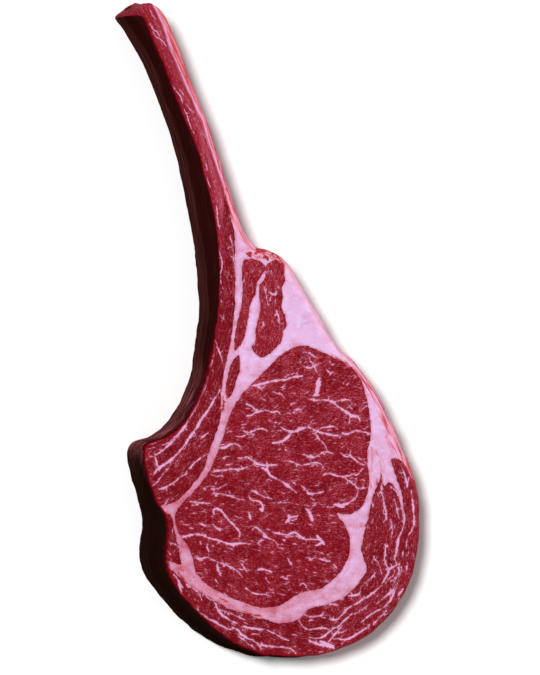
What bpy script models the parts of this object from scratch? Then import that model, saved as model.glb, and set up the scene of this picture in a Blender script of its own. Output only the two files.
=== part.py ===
"""Raw tomahawk steak lying flat: one rib steak on its long rib bone.

The steak lies in the XY plane with its cut face up: +Y runs up the rib to the end of the
bone handle, +X points away from the rib, +Z is up. The origin is the middle of the
bounding box on the surface that the steak lies on.

The whole steak is first one slab: a rounded rim round the plan outline, trimmed on top by
the gently uneven cut face. Upright prisms, one for each muscle and one for the rib bone,
then share it out. What no prism takes is the fat.
"""

import math

import bmesh
import bpy
from mathutils import Vector

MM = 0.001

# ---------------------------------------------------------------- driving dimensions (metres)
THICKNESS = 43 * MM          # height of the cut face above the surface below
GAP = 0.3 * MM               # clearance between two pieces that touch
OUTLINE_STEP = 6 * MM        # spacing of the corners round the plan outline
SEAM_STEP = 6 * MM           # spacing of the corners along the muscle seams
FACE_STEP = 9 * MM           # spacing of the corners of the uneven cut face

UNDER_ROUND = 3.0 * MM       # radius of the edge round the underside
SIDE_BULGE = 0.9 * MM        # how far the sides belly out at half height
BONE_EDGE_ROUND = 3.0 * MM   # radius of the top edge along the rib side
HANDLE_ROUND = 4.5 * MM      # radius of the top edge round the handle's outer side
FAT_EDGE_ROUND = 9.0 * MM    # radius of the soft top edge on the fat side
SHOULDER_STEPS = 4           # facets round the top edge
CUTTER_MARGIN = 12 * MM      # how far the prisms reach past the slab above and below

EYE_CROWN = 1.4 * MM         # the big muscle stands up in its middle
FACE_WAVE = 0.5 * MM         # height of the slow waves of the cut face
SHOULDER_TOP = 1.0 * MM      # how far the rim's own top lies above the cut face

# ---------------------------------------------------------------- outlines (millimetres)
# Each is a closed loop of (x, y) corners that a smooth curve runs through.
HANDLE_END = [(-89.5, 186.5), (-86, 190.5), (-77, 194.3), (-68.5, 191)]

RIB_SIDE = [
    (-86, 181.5), (-74, 164.5), (-62.5, 139), (-52.5, 113), (-44, 78), (-38, 40),
    (-36.5, 8), (-42, -28), (-55, -53), (-68, -63.2), (-78.5, -67.3),
]

LOWER_SIDE = [
    (-81, -76), (-73.5, -100), (-71.3, -113), (-73.4, -131), (-70, -146), (-57, -161),
    (-36, -179.5), (-12, -191),
]

CAP_SIDE = [
    (10, -193.8), (37, -190), (61, -178), (80, -156), (87.5, -134), (89.5, -115), (87, -92),
    (79, -69),
]

FAT_SIDE = [
    (65, -40), (50.5, -20), (39, -9), (32.3, 1), (16, 27), (6, 42), (-4, 47.8),
    (-12, 50.5), (-20, 61), (-28, 84), (-42, 124), (-54, 152), (-62.5, 176),
]

STEAK = HANDLE_END[:1] + RIB_SIDE + LOWER_SIDE + CAP_SIDE + FAT_SIDE + HANDLE_END[:0:-1]

RIB_BONE = [
    (-110, 210), (-110, 60), (-70, -30), (-100, -62), (-92, -71), (-72, -68), (-60, -60.5),
    (-49.5, -49), (-39.5, -29), (-33.5, -6), (-32.4, 20), (-33, 48), (-34, 68), (-32.5, 86),
    (-34, 104), (-30, 140), (-45, 210),
]

RIB_MEAT = [
    (-34, 84), (-31, 74), (-27, 58), (-26.6, 42), (-26.6, 16), (-27.6, 4), (-30, -10),
    (-33, -23), (-36.2, -37), (-36.6, -52), (-40.2, -68), (-44.5, -80), (-53, -90.5),
    (-60, -98), (-68, -102.5), (-88, -103), (-96, -76), (-78, -60), (-50, -20), (-40, 30),
    (-40, 70),
]

EYE_MUSCLE = [
    (-24, -40), (-9, -24.5), (5.5, -12), (17, -9), (31, -14), (47, -25), (55, -41),
    (58, -62), (55.6, -77), (57.2, -89), (53.5, -103), (45, -109.5), (37, -109),
    (43.5, -119), (45, -131), (39.5, -143), (28, -153), (14.5, -156), (2, -163),
    (-10, -164.8), (-24, -160), (-43, -149.5), (-52.5, -137), (-61, -120), (-63, -108.5),
    (-54.5, -100.5), (-47, -90.5), (-41.5, -81.5), (-38.5, -71), (-35, -60), (-30.5, -49),
]

CAP_MUSCLE = [
    (60.5, -96), (64, -91.5), (69.5, -88.5), (74, -88), (72.5, -80), (71.5, -75),
    (76, -71), (102, -78), (108, -130), (70, -210), (0, -210), (-60, -190), (-100, -150),
    (-96, -138), (-70, -138.5), (-59, -143), (-49, -150.5), (-39, -158.5), (-24, -167),
    (-9, -171.5), (5, -173.5), (12.5, -170), (16, -165), (25, -162.7), (38, -158),
    (48, -150), (54, -142), (52, -132), (53.5, -123), (57, -112),
]

SIDE_MUSCLE = [
    (-90, -109.5), (-74, -109.5), (-66.6, -109), (-65, -113), (-63, -119), (-61, -127),
    (-59, -136.5), (-66, -135.8), (-74, -134.5), (-90, -134),
]

INNER_TAIL_MUSCLE = [
    (-22.3, 41), (-17, 43.5), (-9.3, 40.5), (-11, 33), (-13.6, 25.5), (-16.6, 16.5),
    (-18.5, 6.5), (-20.5, -4), (-26.3, -10.5), (-26.2, -2), (-23.6, 10), (-22.3, 27),
]

OUTER_TAIL_MUSCLE = [
    (-5.5, 39.5), (-1, 42.5), (3.2, 37), (4.6, 30), (2.7, 21), (5.2, 8), (2.7, -6),
    (-4, -12.5), (-11.5, -15.5), (-16, -10), (-13.5, -1), (-11, 8), (-12, 19.5),
    (-9.6, 30),
]

SEAM_MUSCLE = [
    (-24.2, -14.5), (-28, -18), (-31, -27), (-32.6, -35), (-31, -40.5), (-27.2, -33.5),
    (-23.8, -23),
]

EYE_CENTRE = Vector((0 * MM, -88 * MM))
EYE_REACH = Vector((62 * MM, 82 * MM))

COLOURS = {
    "bone": ((0.055, 0.018, 0.012), 0.55),
    "muscle": ((0.29, 0.018, 0.032), 0.38),
    "fat": ((0.72, 0.40, 0.55), 0.32),
}


# ---------------------------------------------------------------- plan curves
def signed_area(points):
    """Area of a loop: positive where it runs counter-clockwise."""
    return sum(point.cross(points[index - 1]) for index, point in enumerate(points)) / -2


def smooth_loop(corners, step):
    """Counter-clockwise points about `step` apart on a smooth loop through corners in mm."""
    knots = [Vector(corner) * MM for corner in corners]
    if signed_area(knots) < 0:
        knots.reverse()
    count = len(knots)
    points = []
    for index in range(count):
        before, start = knots[index - 1], knots[index]
        end, after = knots[(index + 1) % count], knots[(index + 2) % count]
        span = (end - start).length
        slope_in = (end - before) * (span / ((start - before).length + span))
        slope_out = (after - start) * (span / ((after - end).length + span))
        pieces = max(1, round(span / step))
        for piece in range(pieces):
            t = piece / pieces
            points.append(
                start * (2 * t**3 - 3 * t**2 + 1) + slope_in * (t**3 - 2 * t**2 + t)
                + end * (3 * t**2 - 2 * t**3) + slope_out * (t**3 - t**2)
            )
    return points


def outward_normals(points):
    """Unit vectors in the plane that point out of a counter-clockwise loop."""
    normals = []
    for index, _ in enumerate(points):
        along = points[(index + 1) % len(points)] - points[index - 1]
        normals.append(Vector((along.y, -along.x)).normalized())
    return normals


def grown(points, distance):
    """The same loop with every point moved outwards by a distance."""
    return [point + normal * distance
            for point, normal in zip(points, outward_normals(points))]


def loop_centre(points):
    """Middle of the box round a loop."""
    xs = [point.x for point in points]
    ys = [point.y for point in points]
    return Vector(((min(xs) + max(xs)) / 2, (min(ys) + max(ys)) / 2))


# ---------------------------------------------------------------- heights
def ease(value, low, high):
    """0 below low, 1 above high and a smooth rise between them."""
    t = min(1.0, max(0.0, (value - low) / (high - low)))
    return t * t * (3 - 2 * t)


def face_height(x, y):
    """Height of the uneven cut face at a place on the steak."""
    eye = ((x - EYE_CENTRE.x) / EYE_REACH.x) ** 2 + ((y - EYE_CENTRE.y) / EYE_REACH.y) ** 2
    crown = EYE_CROWN * max(0.0, 1.0 - eye)
    waves = math.sin(x / (17 * MM) + 1.1) * math.cos(y / (23 * MM) - 0.4)
    return THICKNESS - EYE_CROWN + crown + FACE_WAVE * (waves - 1.0) / 2


def top_edge_radius(point, normal):
    """Radius of the top edge: tight along the rib, soft on the fat side."""
    handle = ease(point.y, 30 * MM, 75 * MM)
    outer = FAT_EDGE_ROUND + (HANDLE_ROUND - FAT_EDGE_ROUND) * handle
    return BONE_EDGE_ROUND + (outer - BONE_EDGE_ROUND) * ease(normal.x, -0.35, 0.45)


# ---------------------------------------------------------------- meshes
def new_object(name, mesh, collection):
    """Put a mesh in the scene under a name."""
    piece = bpy.data.objects.new(name, mesh)
    collection.objects.link(piece)
    return piece


def rim_section(radius):
    """(inset, height) pairs up the side of the slab, from the underside to the top."""
    top = THICKNESS + SHOULDER_TOP
    section = [
        (UNDER_ROUND, 0.0),
        (UNDER_ROUND * (1 - math.sin(math.radians(45))), UNDER_ROUND * (1 - math.cos(math.radians(45)))),
        (0.0, UNDER_ROUND),
        (-SIDE_BULGE, THICKNESS / 2),
    ]
    for step in range(SHOULDER_STEPS + 1):
        turn = math.radians(90) * step / SHOULDER_STEPS
        section.append((radius * (1 - math.cos(turn)), top - radius + radius * math.sin(turn)))
    return section


def make_slab_mesh(centre):
    """The whole steak with a flat top: rings of the rim, lofted from one side profile to the next."""
    loop = [point - centre for point in smooth_loop(STEAK, OUTLINE_STEP)]
    normals = outward_normals(loop)
    sections = [rim_section(top_edge_radius(point, normal)) for point, normal in zip(loop, normals)]
    work = bmesh.new()
    rings = []
    for level in range(len(sections[0])):
        ring = []
        for point, normal, section in zip(loop, normals, sections):
            inset, height = section[level]
            place = point - normal * inset
            ring.append(work.verts.new((place.x, place.y, height)))
        rings.append(ring)
    for low, high in zip(rings, rings[1:]):
        for index in range(len(low)):
            follow = (index + 1) % len(low)
            work.faces.new((low[index], low[follow], high[follow], high[index]))
    work.faces.new(list(reversed(rings[0])))
    work.faces.new(rings[-1])
    bmesh.ops.recalc_face_normals(work, faces=work.faces)
    mesh = bpy.data.meshes.new("steak_slab")
    work.to_mesh(mesh)
    work.free()
    return mesh


def make_face_block(collection, centre):
    """A block whose upper side is the uneven cut face, to trim the slab with."""
    reach = loop_centre([Vector((0.0, 0.0)), Vector((260 * MM, 460 * MM))]) * 2
    cells = (round(reach.x / FACE_STEP), round(reach.y / FACE_STEP))
    bpy.ops.mesh.primitive_grid_add(x_subdivisions=cells[0], y_subdivisions=cells[1], size=1)
    block = bpy.context.object
    block.name = "cut_face_block"
    block.data.name = "cut_face_block"
    for home in list(block.users_collection):
        home.objects.unlink(block)
    collection.objects.link(block)
    work = bmesh.new()
    work.from_mesh(block.data)
    for vert in work.verts:
        x, y = vert.co.x * reach.x, vert.co.y * reach.y
        vert.co = (x, y, face_height(x + centre.x, y + centre.y))
    lower = bmesh.ops.extrude_face_region(work, geom=list(work.faces))
    for item in lower["geom"]:
        if isinstance(item, bmesh.types.BMVert):
            item.co.z = -CUTTER_MARGIN
    bmesh.ops.recalc_face_normals(work, faces=work.faces)
    work.to_mesh(block.data)
    work.free()
    return block


def make_prism(name, corners, growth, collection, centre):
    """An upright prism on a smooth plan outline, as a mesh that can cut."""
    outline = bpy.data.curves.new(name, "CURVE")
    outline.dimensions = "2D"
    outline.fill_mode = "BOTH"
    outline.extrude = THICKNESS / 2 + CUTTER_MARGIN
    spline = outline.splines.new("POLY")
    points = grown(smooth_loop(corners, SEAM_STEP), growth)
    spline.points.add(len(points) - 1)
    for target, point in zip(spline.points, points):
        target.co = (point.x - centre.x, point.y - centre.y, 0.0, 1.0)
    spline.use_cyclic_u = True
    drawn = new_object(name + "_outline", outline, collection)
    drawn.location.z = THICKNESS / 2
    bpy.context.view_layer.update()
    shape = drawn.evaluated_get(bpy.context.evaluated_depsgraph_get())
    mesh = bpy.data.meshes.new_from_object(shape)
    work = bmesh.new()
    work.from_mesh(mesh)
    bmesh.ops.remove_doubles(work, verts=work.verts, dist=0.01 * MM)
    bmesh.ops.recalc_face_normals(work, faces=work.faces)
    work.to_mesh(mesh)
    work.free()
    prism = new_object(name, mesh, collection)
    prism.matrix_world = drawn.matrix_world.copy()
    bpy.data.objects.remove(drawn)
    return prism


def hide_guide(guide):
    """Mark an object as a cutter that isn't part of the steak."""
    guide.hide_render = True
    guide.display_type = "WIRE"


def add_boolean(piece, operation, cutter):
    """Cut a piece with one object."""
    cut = piece.modifiers.new(operation.lower() + "_" + cutter.name, "BOOLEAN")
    cut.operation = operation
    cut.object = cutter
    cut.solver = "EXACT"


def make_material(name, kind):
    """A plain finish in the colour of one kind of tissue."""
    colour, roughness = COLOURS[kind]
    material = bpy.data.materials.new(name)
    material.use_nodes = True
    shader = material.node_tree.nodes["Principled BSDF"]
    shader.inputs["Base Color"].default_value = (*colour, 1.0)
    shader.inputs["Roughness"].default_value = roughness
    shader.inputs["Metallic"].default_value = 0.0
    material.diffuse_color = (*colour, 1.0)
    return material


# ---------------------------------------------------------------- the steak
def make_piece(name, kind, slab_mesh, block, collection):
    """A copy of the whole slab, trimmed by the cut face, ready to be cut to one piece."""
    piece = new_object(name, slab_mesh.copy(), collection)
    piece.data.name = name
    piece.data.materials.append(make_material(name, kind))
    add_boolean(piece, "INTERSECT", block)
    return piece


def build_steak():
    """Model the bone, each muscle and the fat between them."""
    steak = bpy.data.collections.new("tomahawk_steak")
    cutters = bpy.data.collections.new("cutters")
    bpy.context.scene.collection.children.link(steak)
    bpy.context.scene.collection.children.link(cutters)

    centre = loop_centre(smooth_loop(STEAK, OUTLINE_STEP))
    slab_mesh = make_slab_mesh(centre)
    block = make_face_block(cutters, centre)
    hide_guide(block)

    outlines = {
        "rib_bone": ("bone", RIB_BONE),
        "rib_meat": ("muscle", RIB_MEAT),
        "eye_muscle": ("muscle", EYE_MUSCLE),
        "cap_muscle": ("muscle", CAP_MUSCLE),
        "side_muscle": ("muscle", SIDE_MUSCLE),
        "inner_tail_muscle": ("muscle", INNER_TAIL_MUSCLE),
        "outer_tail_muscle": ("muscle", OUTER_TAIL_MUSCLE),
        "seam_muscle": ("muscle", SEAM_MUSCLE),
    }

    clearances = {}
    for name, (kind, corners) in outlines.items():
        prism = make_prism(name + "_prism", corners, 0.0, cutters, centre)
        clearances[name] = make_prism(name + "_clearance", corners, GAP, cutters, centre)
        hide_guide(prism)
        hide_guide(clearances[name])
        piece = make_piece(name, kind, slab_mesh, block, steak)
        add_boolean(piece, "INTERSECT", prism)
        if name == "rib_meat":
            add_boolean(piece, "DIFFERENCE", clearances["rib_bone"])

    fat = make_piece("fat", "fat", slab_mesh, block, steak)
    for clearance in clearances.values():
        add_boolean(fat, "DIFFERENCE", clearance)
    bpy.data.meshes.remove(slab_mesh)


def clear_scene():
    """Start from an empty scene."""
    for old in list(bpy.data.objects):
        bpy.data.objects.remove(old)


clear_scene()
build_steak()
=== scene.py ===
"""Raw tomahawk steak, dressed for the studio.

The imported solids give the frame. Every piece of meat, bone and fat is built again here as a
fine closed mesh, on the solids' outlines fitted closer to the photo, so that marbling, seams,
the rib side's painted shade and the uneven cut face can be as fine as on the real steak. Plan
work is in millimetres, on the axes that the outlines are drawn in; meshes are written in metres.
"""

from __future__ import annotations

import logging
import math
from dataclasses import dataclass, field
from enum import Enum
from typing import Any, Mapping, NamedTuple, Optional, Sequence, Union

import bpy
import numpy as np
from mathutils import Matrix, Vector, geometry, kdtree

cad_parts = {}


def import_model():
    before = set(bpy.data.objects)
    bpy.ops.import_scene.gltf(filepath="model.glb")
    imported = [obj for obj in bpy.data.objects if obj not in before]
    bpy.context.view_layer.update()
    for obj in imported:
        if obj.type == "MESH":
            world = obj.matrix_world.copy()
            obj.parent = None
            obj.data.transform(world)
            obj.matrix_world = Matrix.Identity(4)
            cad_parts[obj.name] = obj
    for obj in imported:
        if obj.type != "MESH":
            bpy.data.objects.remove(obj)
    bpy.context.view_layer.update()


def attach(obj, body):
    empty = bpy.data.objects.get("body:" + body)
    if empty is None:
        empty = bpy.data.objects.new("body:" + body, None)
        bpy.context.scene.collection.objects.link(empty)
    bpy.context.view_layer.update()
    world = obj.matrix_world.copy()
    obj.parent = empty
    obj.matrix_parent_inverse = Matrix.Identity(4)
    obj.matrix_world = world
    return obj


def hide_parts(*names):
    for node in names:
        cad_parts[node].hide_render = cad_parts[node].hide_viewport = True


LOG = logging.getLogger("steak")
MM = 0.001
CHUNK = 4000      # places worked on at a time, to keep the big tables small
SOLID_STEP = 6.0  # between the points of the solids' own outline, in millimetres

Corners = Union[Sequence[Sequence[float]], np.ndarray]
Span = tuple[float, float]
Stops = tuple[Span, ...]
Ripples = tuple[Span, ...]

# ------------------------------------------------------------------ outlines in millimetres
HANDLE_END: Corners = ((-89.8, 187), (-85.7, 190.6), (-79.8, 194.4), (-71, 189))

RIB_SIDE: Corners = (
    (-86, 181.5), (-75, 164.5), (-63.6, 139), (-54.1, 113), (-45.7, 78), (-39.4, 40),
    (-38, 8), (-43.6, -28), (-56, -53), (-68.5, -63.5), (-79.5, -67.3),
)

LOWER_SIDE: Corners = (
    (-82.2, -76), (-75.8, -100), (-72.6, -113), (-75, -131), (-71.5, -146), (-58.5, -162),
    (-38, -181.2), (-14, -192.1),
)

CAP_SIDE: Corners = (
    (10, -194.2), (38, -191), (62.3, -179), (81.5, -156.5), (88.6, -134), (90.4, -115), (88, -92),
    (79.3, -69),
)

FAT_SIDE: Corners = (
    (65, -40), (50.5, -20), (39, -9), (32.3, 1), (16, 27), (6, 42), (-4, 47.8),
    (-12.5, 50.5), (-21.2, 61), (-30, 84), (-43.8, 124), (-55.3, 152), (-64.3, 175.5),
)

STEAK: Corners = (
    HANDLE_END[:1] + RIB_SIDE + LOWER_SIDE + CAP_SIDE + FAT_SIDE + HANDLE_END[:0:-1]
)

RIB_BONE: Corners = (
    (-110, 210), (-110, 60), (-70, -30), (-100, -62), (-92, -71), (-72, -68), (-60, -60.5),
    (-49.5, -49), (-39.5, -29), (-33.5, -6), (-32.4, 20), (-33, 48), (-34, 68), (-32.5, 86),
    (-34, 104), (-30, 140), (-45, 210),
)

RIB_MEAT: Corners = (
    (-34, 84), (-31, 74), (-27, 58), (-26.6, 42), (-26.6, 16), (-27.6, 4), (-30, -10),
    (-33, -23), (-35.2, -37), (-35.4, -50), (-38.4, -60), (-42.3, -70.7), (-46.7, -82.3),
    (-52.3, -90.4), (-58.3, -97), (-63.5, -101.2), (-70, -103.5), (-88, -103), (-96, -76),
    (-78, -60), (-50, -20), (-40, 30), (-40, 70),
)

EYE_MUSCLE: Corners = (
    (-24, -40), (-9, -24.5), (5.5, -12), (17, -9), (31.5, -14), (44.2, -21), (50.6, -27),
    (54.4, -35), (56.8, -46), (58, -62), (55.6, -77), (57.2, -89), (53.5, -103), (45, -109.5), (37, -109),
    (43.5, -119), (45, -131), (39.5, -143), (28, -153), (14.5, -156), (2, -163),
    (-10, -164.8), (-18, -162.6), (-27.6, -159.4), (-34.6, -155.6), (-41.7, -152), (-46.5, -148.1),
    (-50.1, -144), (-52.2, -138.6), (-53, -133), (-55.2, -128.6), (-57.2, -125), (-60.6, -120.6),
    (-62.5, -116), (-63.5, -109),
    (-58.5, -101.4), (-53.7, -97), (-47.8, -90.4), (-41.7, -82.3), (-37.3, -70.7), (-33.5, -60),
    (-29.7, -49.5),
)

CAP_MUSCLE: Corners = (
    (58.6, -103), (60.4, -97), (61.2, -93.8), (62.9, -90.6), (64.3, -87.8), (65.5, -90.4),
    (66.8, -92.8), (69.5, -90.1), (71.7, -91.7), (73.9, -94.8), (76, -100.1), (77.2, -106.4),
    (78.9, -113.5), (79, -106), (77.6, -98.5), (75.8, -91.6), (73.6, -85.5), (71.8, -80),
    (70.9, -77), (73.6, -76.2), (76.6, -77.4), (79.6, -80.3), (82, -84), (84, -88.2),
    (100, -96), (104, -110), (110, -130), (70, -210), (0, -210), (-60, -190), (-100, -150),
    (-96, -137.5), (-71, -138.8), (-64.5, -142.4), (-58.4, -148.2), (-51.3, -153.4),
    (-43, -157.4), (-36.5, -161.8), (-27.6, -165.8), (-18, -168.6),
    (-9, -171.8), (5, -174), (14, -171.3), (18, -166.4), (26.5, -164.2), (39.8, -159.8),
    (49.6, -151.6), (55.4, -143), (52.4, -132), (53.5, -123), (56, -113),
)

SIDE_MUSCLE: Corners = (
    (-90, -109.5), (-74, -109), (-67.4, -108.4), (-65.6, -111), (-64.5, -117), (-63.2, -121.6),
    (-62, -126.1), (-61, -130.7), (-60.2, -135.2), (-59.4, -138.6), (-64.3, -137.6),
    (-69.1, -135.6), (-78, -133.6), (-90, -133),
)

INNER_TAIL_MUSCLE: Corners = (
    (-21.9, 41), (-19.7, 42.6), (-14.1, 42.4), (-9, 40.4), (-7.6, 36.9), (-10, 32.9),
    (-12.9, 29.3), (-13.3, 23.9), (-16.2, 17.7), (-18, 13.2), (-18.5, 6.9), (-19.9, -0.2),
    (-21.8, -6.5), (-26.6, -12), (-26.9, -9.2), (-26, 1.5), (-24.1, 8.7), (-22.7, 15),
    (-21.9, 27.5),
)

OUTER_TAIL_MUSCLE: Corners = (
    (-7.3, 38.6), (-5.2, 40.4), (-1.1, 42.4), (3.1, 39.2), (4, 34.7), (4.5, 29.3), (2.1, 24.9),
    (3.1, 21.2), (2.6, 14.1), (4.9, 8.7), (5.4, 3.3), (3.6, -0.2), (2.1, -6.1), (-2.1, -11),
    (-5.8, -14.2), (-11.4, -15.4), (-15.7, -10.1), (-13.8, -5.7), (-13.8, -0.2), (-11.4, 8.7),
    (-11, 15), (-11.4, 19.5), (-11.5, 26.7), (-7.9, 32),
)

SEAM_MUSCLE: Corners = (
    (-24.2, -14.5), (-28, -18), (-31, -27), (-32.6, -35), (-31, -40.5), (-27.2, -33.5),
    (-23.8, -23),
)

# Corner numbers round STEAK: the cut end of the handle runs from the first of these past the
# last corner to the second.
HANDLE_CUT_FROM = 40.4
HANDLE_CUT_TO = 0.6


class Tissue(Enum):
    """The kinds of tissue: bone, lean and fat."""

    BONE = "bone"
    LEAN = "lean"
    FAT = "fat"


# ------------------------------------------------------------------ small helpers
def ease(value: Any, low: float, high: float) -> Any:
    """Rise smoothly from 0 at low to 1 at high.

    Args:
        value: A number or an array.
        low: Where the rise starts.
        high: Where the rise ends.

    Returns:
        The eased value, in the same form as the input.
    """
    t = np.clip((value - low) / (high - low), 0.0, 1.0)
    return t * t * (3 - 2 * t)


def in_rows(values: np.ndarray, levels: np.ndarray) -> np.ndarray:
    """One row for each value, which it holds once for every level."""
    return np.repeat(values[:, None], len(levels), axis=1)


@dataclass(eq=False)
class ValueNoise:
    """Smooth seeded noise on a repeating lattice, from -1 to 1."""

    seed: int
    period: int = 128
    lattice: np.ndarray = field(init=False)

    def __post_init__(self) -> None:
        """Fill the lattice."""
        source = np.random.default_rng(self.seed)
        self.lattice = source.uniform(-1.0, 1.0, (self.period, self.period))

    def at(self, u: np.ndarray, v: np.ndarray) -> np.ndarray:
        """Read the noise.

        Args:
            u: First coordinate, in lattice cells.
            v: Second coordinate, in lattice cells.

        Returns:
            The smoothly blended lattice values.
        """
        cell_u, cell_v = np.floor(u).astype(int), np.floor(v).astype(int)
        part_u, part_v = ease(u - cell_u, 0.0, 1.0), ease(v - cell_v, 0.0, 1.0)
        size = self.period
        low = self.lattice[cell_u % size, cell_v % size] * (1 - part_u)
        low = low + self.lattice[(cell_u + 1) % size, cell_v % size] * part_u
        high = self.lattice[cell_u % size, (cell_v + 1) % size] * (1 - part_u)
        high = high + self.lattice[(cell_u + 1) % size, (cell_v + 1) % size] * part_u
        return low * (1 - part_v) + high * part_v


def free_edges(triangles: np.ndarray) -> np.ndarray:
    """Find the edges that only one triangle has.

    Args:
        triangles: Corner numbers, counter-clockwise.

    Returns:
        Directed edges with the triangles on their left.
    """
    edges = np.concatenate([triangles[:, (0, 1)], triangles[:, (1, 2)], triangles[:, (2, 0)]])
    size = int(edges.max()) + 1
    there = edges[:, 0] * size + edges[:, 1]
    back = edges[:, 1] * size + edges[:, 0]
    return edges[~np.isin(there, back)]


@dataclass
class Nearby:
    """Quick distances to a cloud of plan points."""

    groups: Sequence[np.ndarray]
    tree: kdtree.KDTree = field(init=False)

    def __post_init__(self) -> None:
        """Sort the points for searching."""
        points = np.concatenate(self.groups)
        self.tree = kdtree.KDTree(len(points))
        for index, (x, y) in enumerate(points):
            self.tree.insert((x, y, 0.0), index)
        self.tree.balance()

    def distance(self, places: np.ndarray) -> np.ndarray:
        """Distance from each place to the nearest point."""
        return np.array([self.tree.find((x, y, 0.0))[2] for x, y in places])


class Hit(NamedTuple):
    """What the nearest place on a track is like, one entry for each place asked for."""

    distance: np.ndarray
    arc: np.ndarray
    knot: np.ndarray
    side: np.ndarray  # 1 on the left of the track, -1 on its right


@dataclass
class Track:
    """A smooth curve in plan through corners, held as close-set points."""

    points: np.ndarray
    knots: np.ndarray
    closed: bool
    arcs: np.ndarray = field(init=False)

    def __post_init__(self) -> None:
        """Measure the length along the curve up to every point."""
        steps = np.linalg.norm(np.diff(self.points, axis=0), axis=1)
        self.arcs = np.concatenate(([0.0], np.cumsum(steps)))

    @classmethod
    def through(cls, corners: Corners, step: float, closed: bool = True) -> "Track":
        """Draw a smooth curve, by the rule that the solids' outlines follow.

        Args:
            corners: The corners in millimetres.
            step: Rough distance between points.
            closed: Whether the curve comes back to its first corner.

        Returns:
            The curve; a closed one runs counter-clockwise.
        """
        ends = np.array(corners, dtype=float)
        if closed and cls.area(ends) < 0:
            ends = ends[::-1]
        count = len(ends)
        points, knots = [], []
        for index in range(count if closed else count - 1):
            before = ends[index - 1] if closed or index else 2 * ends[0] - ends[1]
            start, end = ends[index], ends[(index + 1) % count]
            last = not closed and index + 2 == count
            after = 2 * end - start if last else ends[(index + 2) % count]
            span = np.linalg.norm(end - start)
            slope_in = (end - before) * (span / (np.linalg.norm(start - before) + span))
            slope_out = (after - start) * (span / (np.linalg.norm(after - end) + span))
            pieces = max(1, round(span / step))
            t = (np.arange(pieces) / pieces)[:, None]
            points.append(
                start * (2 * t**3 - 3 * t**2 + 1) + slope_in * (t**3 - 2 * t**2 + t)
                + end * (3 * t**2 - 2 * t**3) + slope_out * (t**3 - t**2)
            )
            knots.append(index + t[:, 0])
        if not closed:
            points.append(ends[-1:])
            knots.append(np.array([count - 1.0]))
        return cls(np.concatenate(points), np.concatenate(knots), closed)

    @staticmethod
    def area(points: np.ndarray) -> float:
        """Signed area of a loop: positive where it runs counter-clockwise."""
        x, y = points[:, 0], points[:, 1]
        return float(np.sum(np.roll(x, 1) * y - x * np.roll(y, 1)) / 2)

    def centre(self) -> np.ndarray:
        """Middle of the box round the curve."""
        return (self.points.min(axis=0) + self.points.max(axis=0)) / 2

    def normals(self) -> np.ndarray:
        """Unit vectors that point to the right of a closed curve, which is outwards."""
        along = np.roll(self.points, -1, axis=0) - np.roll(self.points, 1, axis=0)
        right = np.stack((along[:, 1], -along[:, 0]), axis=1)
        return right / np.linalg.norm(right, axis=1, keepdims=True)

    def nearest(self, places: np.ndarray) -> Hit:
        """Find the nearest place on the curve.

        Args:
            places: Places in plan, one a row.

        Returns:
            Distance, length along, corner number and side for every place.
        """
        size = len(self.points)
        turn = math.floor(self.knots[-1]) + 1.0
        parts = []
        for first in range(0, len(places), CHUNK):
            part = places[first:first + CHUNK]
            gaps = (part[:, :1] - self.points[:, 0]) ** 2 + (part[:, 1:] - self.points[:, 1]) ** 2
            near = np.argmin(gaps, axis=1)
            best = None
            for shift in (-1, 0):
                start = near + shift
                start = start % size if self.closed else np.clip(start, 0, size - 2)
                end = (start + 1) % size
                span = self.points[end] - self.points[start]
                off = part - self.points[start]
                length = np.sum(span * span, axis=1)
                t = np.clip(np.sum(off * span, axis=1) / length, 0.0, 1.0)
                gap = np.linalg.norm(off - span * t[:, None], axis=1)
                arc = self.arcs[start] + t * np.sqrt(length)
                knot = self.knots[start] + t * ((self.knots[end] - self.knots[start]) % turn)
                side = np.sign(span[:, 0] * off[:, 1] - span[:, 1] * off[:, 0])
                found = np.stack((gap, arc, knot, side))
                best = found if best is None else np.where(found[0] < best[0], found, best)
            parts.append(best)
        return Hit(*np.concatenate(parts, axis=1))

    def holds(self, places: np.ndarray) -> np.ndarray:
        """Tell which places lie inside a closed curve.

        Args:
            places: Places in plan, one a row.

        Returns:
            True for each place inside.
        """
        inside = np.zeros(len(places), dtype=bool)
        ahead = np.roll(self.points, -1, axis=0)
        for (x0, y0), (x1, y1) in zip(self.points, ahead):
            if y0 == y1:
                continue
            crosses = (places[:, 1] >= min(y0, y1)) & (places[:, 1] < max(y0, y1))
            reach = x0 + (places[:, 1] - y0) * (x1 - x0) / (y1 - y0)
            inside ^= crosses & (places[:, 0] < reach)
        return inside


# ------------------------------------------------------------------ where the photo looks from
@dataclass(frozen=True)
class PhotoView:
    """How places on the cut face and the photo's pixels go together."""

    mm_per_px: float = 0.595
    tilt: float = math.radians(17.0)   # the camera leans towards the rib side
    zero_x: float = 278.7              # pixel column of x = 0 on the cut face
    zero_y: float = 331.0              # pixel row of y = 0

    def on_face(self, spots: Sequence[tuple[float, float]]) -> np.ndarray:
        """Turn spots seen in the photo into places on the cut face.

        Args:
            spots: Pixel columns and rows.

        Returns:
            Places in plan, in millimetres.
        """
        marks = np.array(spots, dtype=float)
        x = (marks[:, 0] - self.zero_x) * self.mm_per_px / math.cos(self.tilt)
        y = (self.zero_y - marks[:, 1]) * self.mm_per_px
        return np.stack((x, y), axis=1)


PHOTO = PhotoView()


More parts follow.
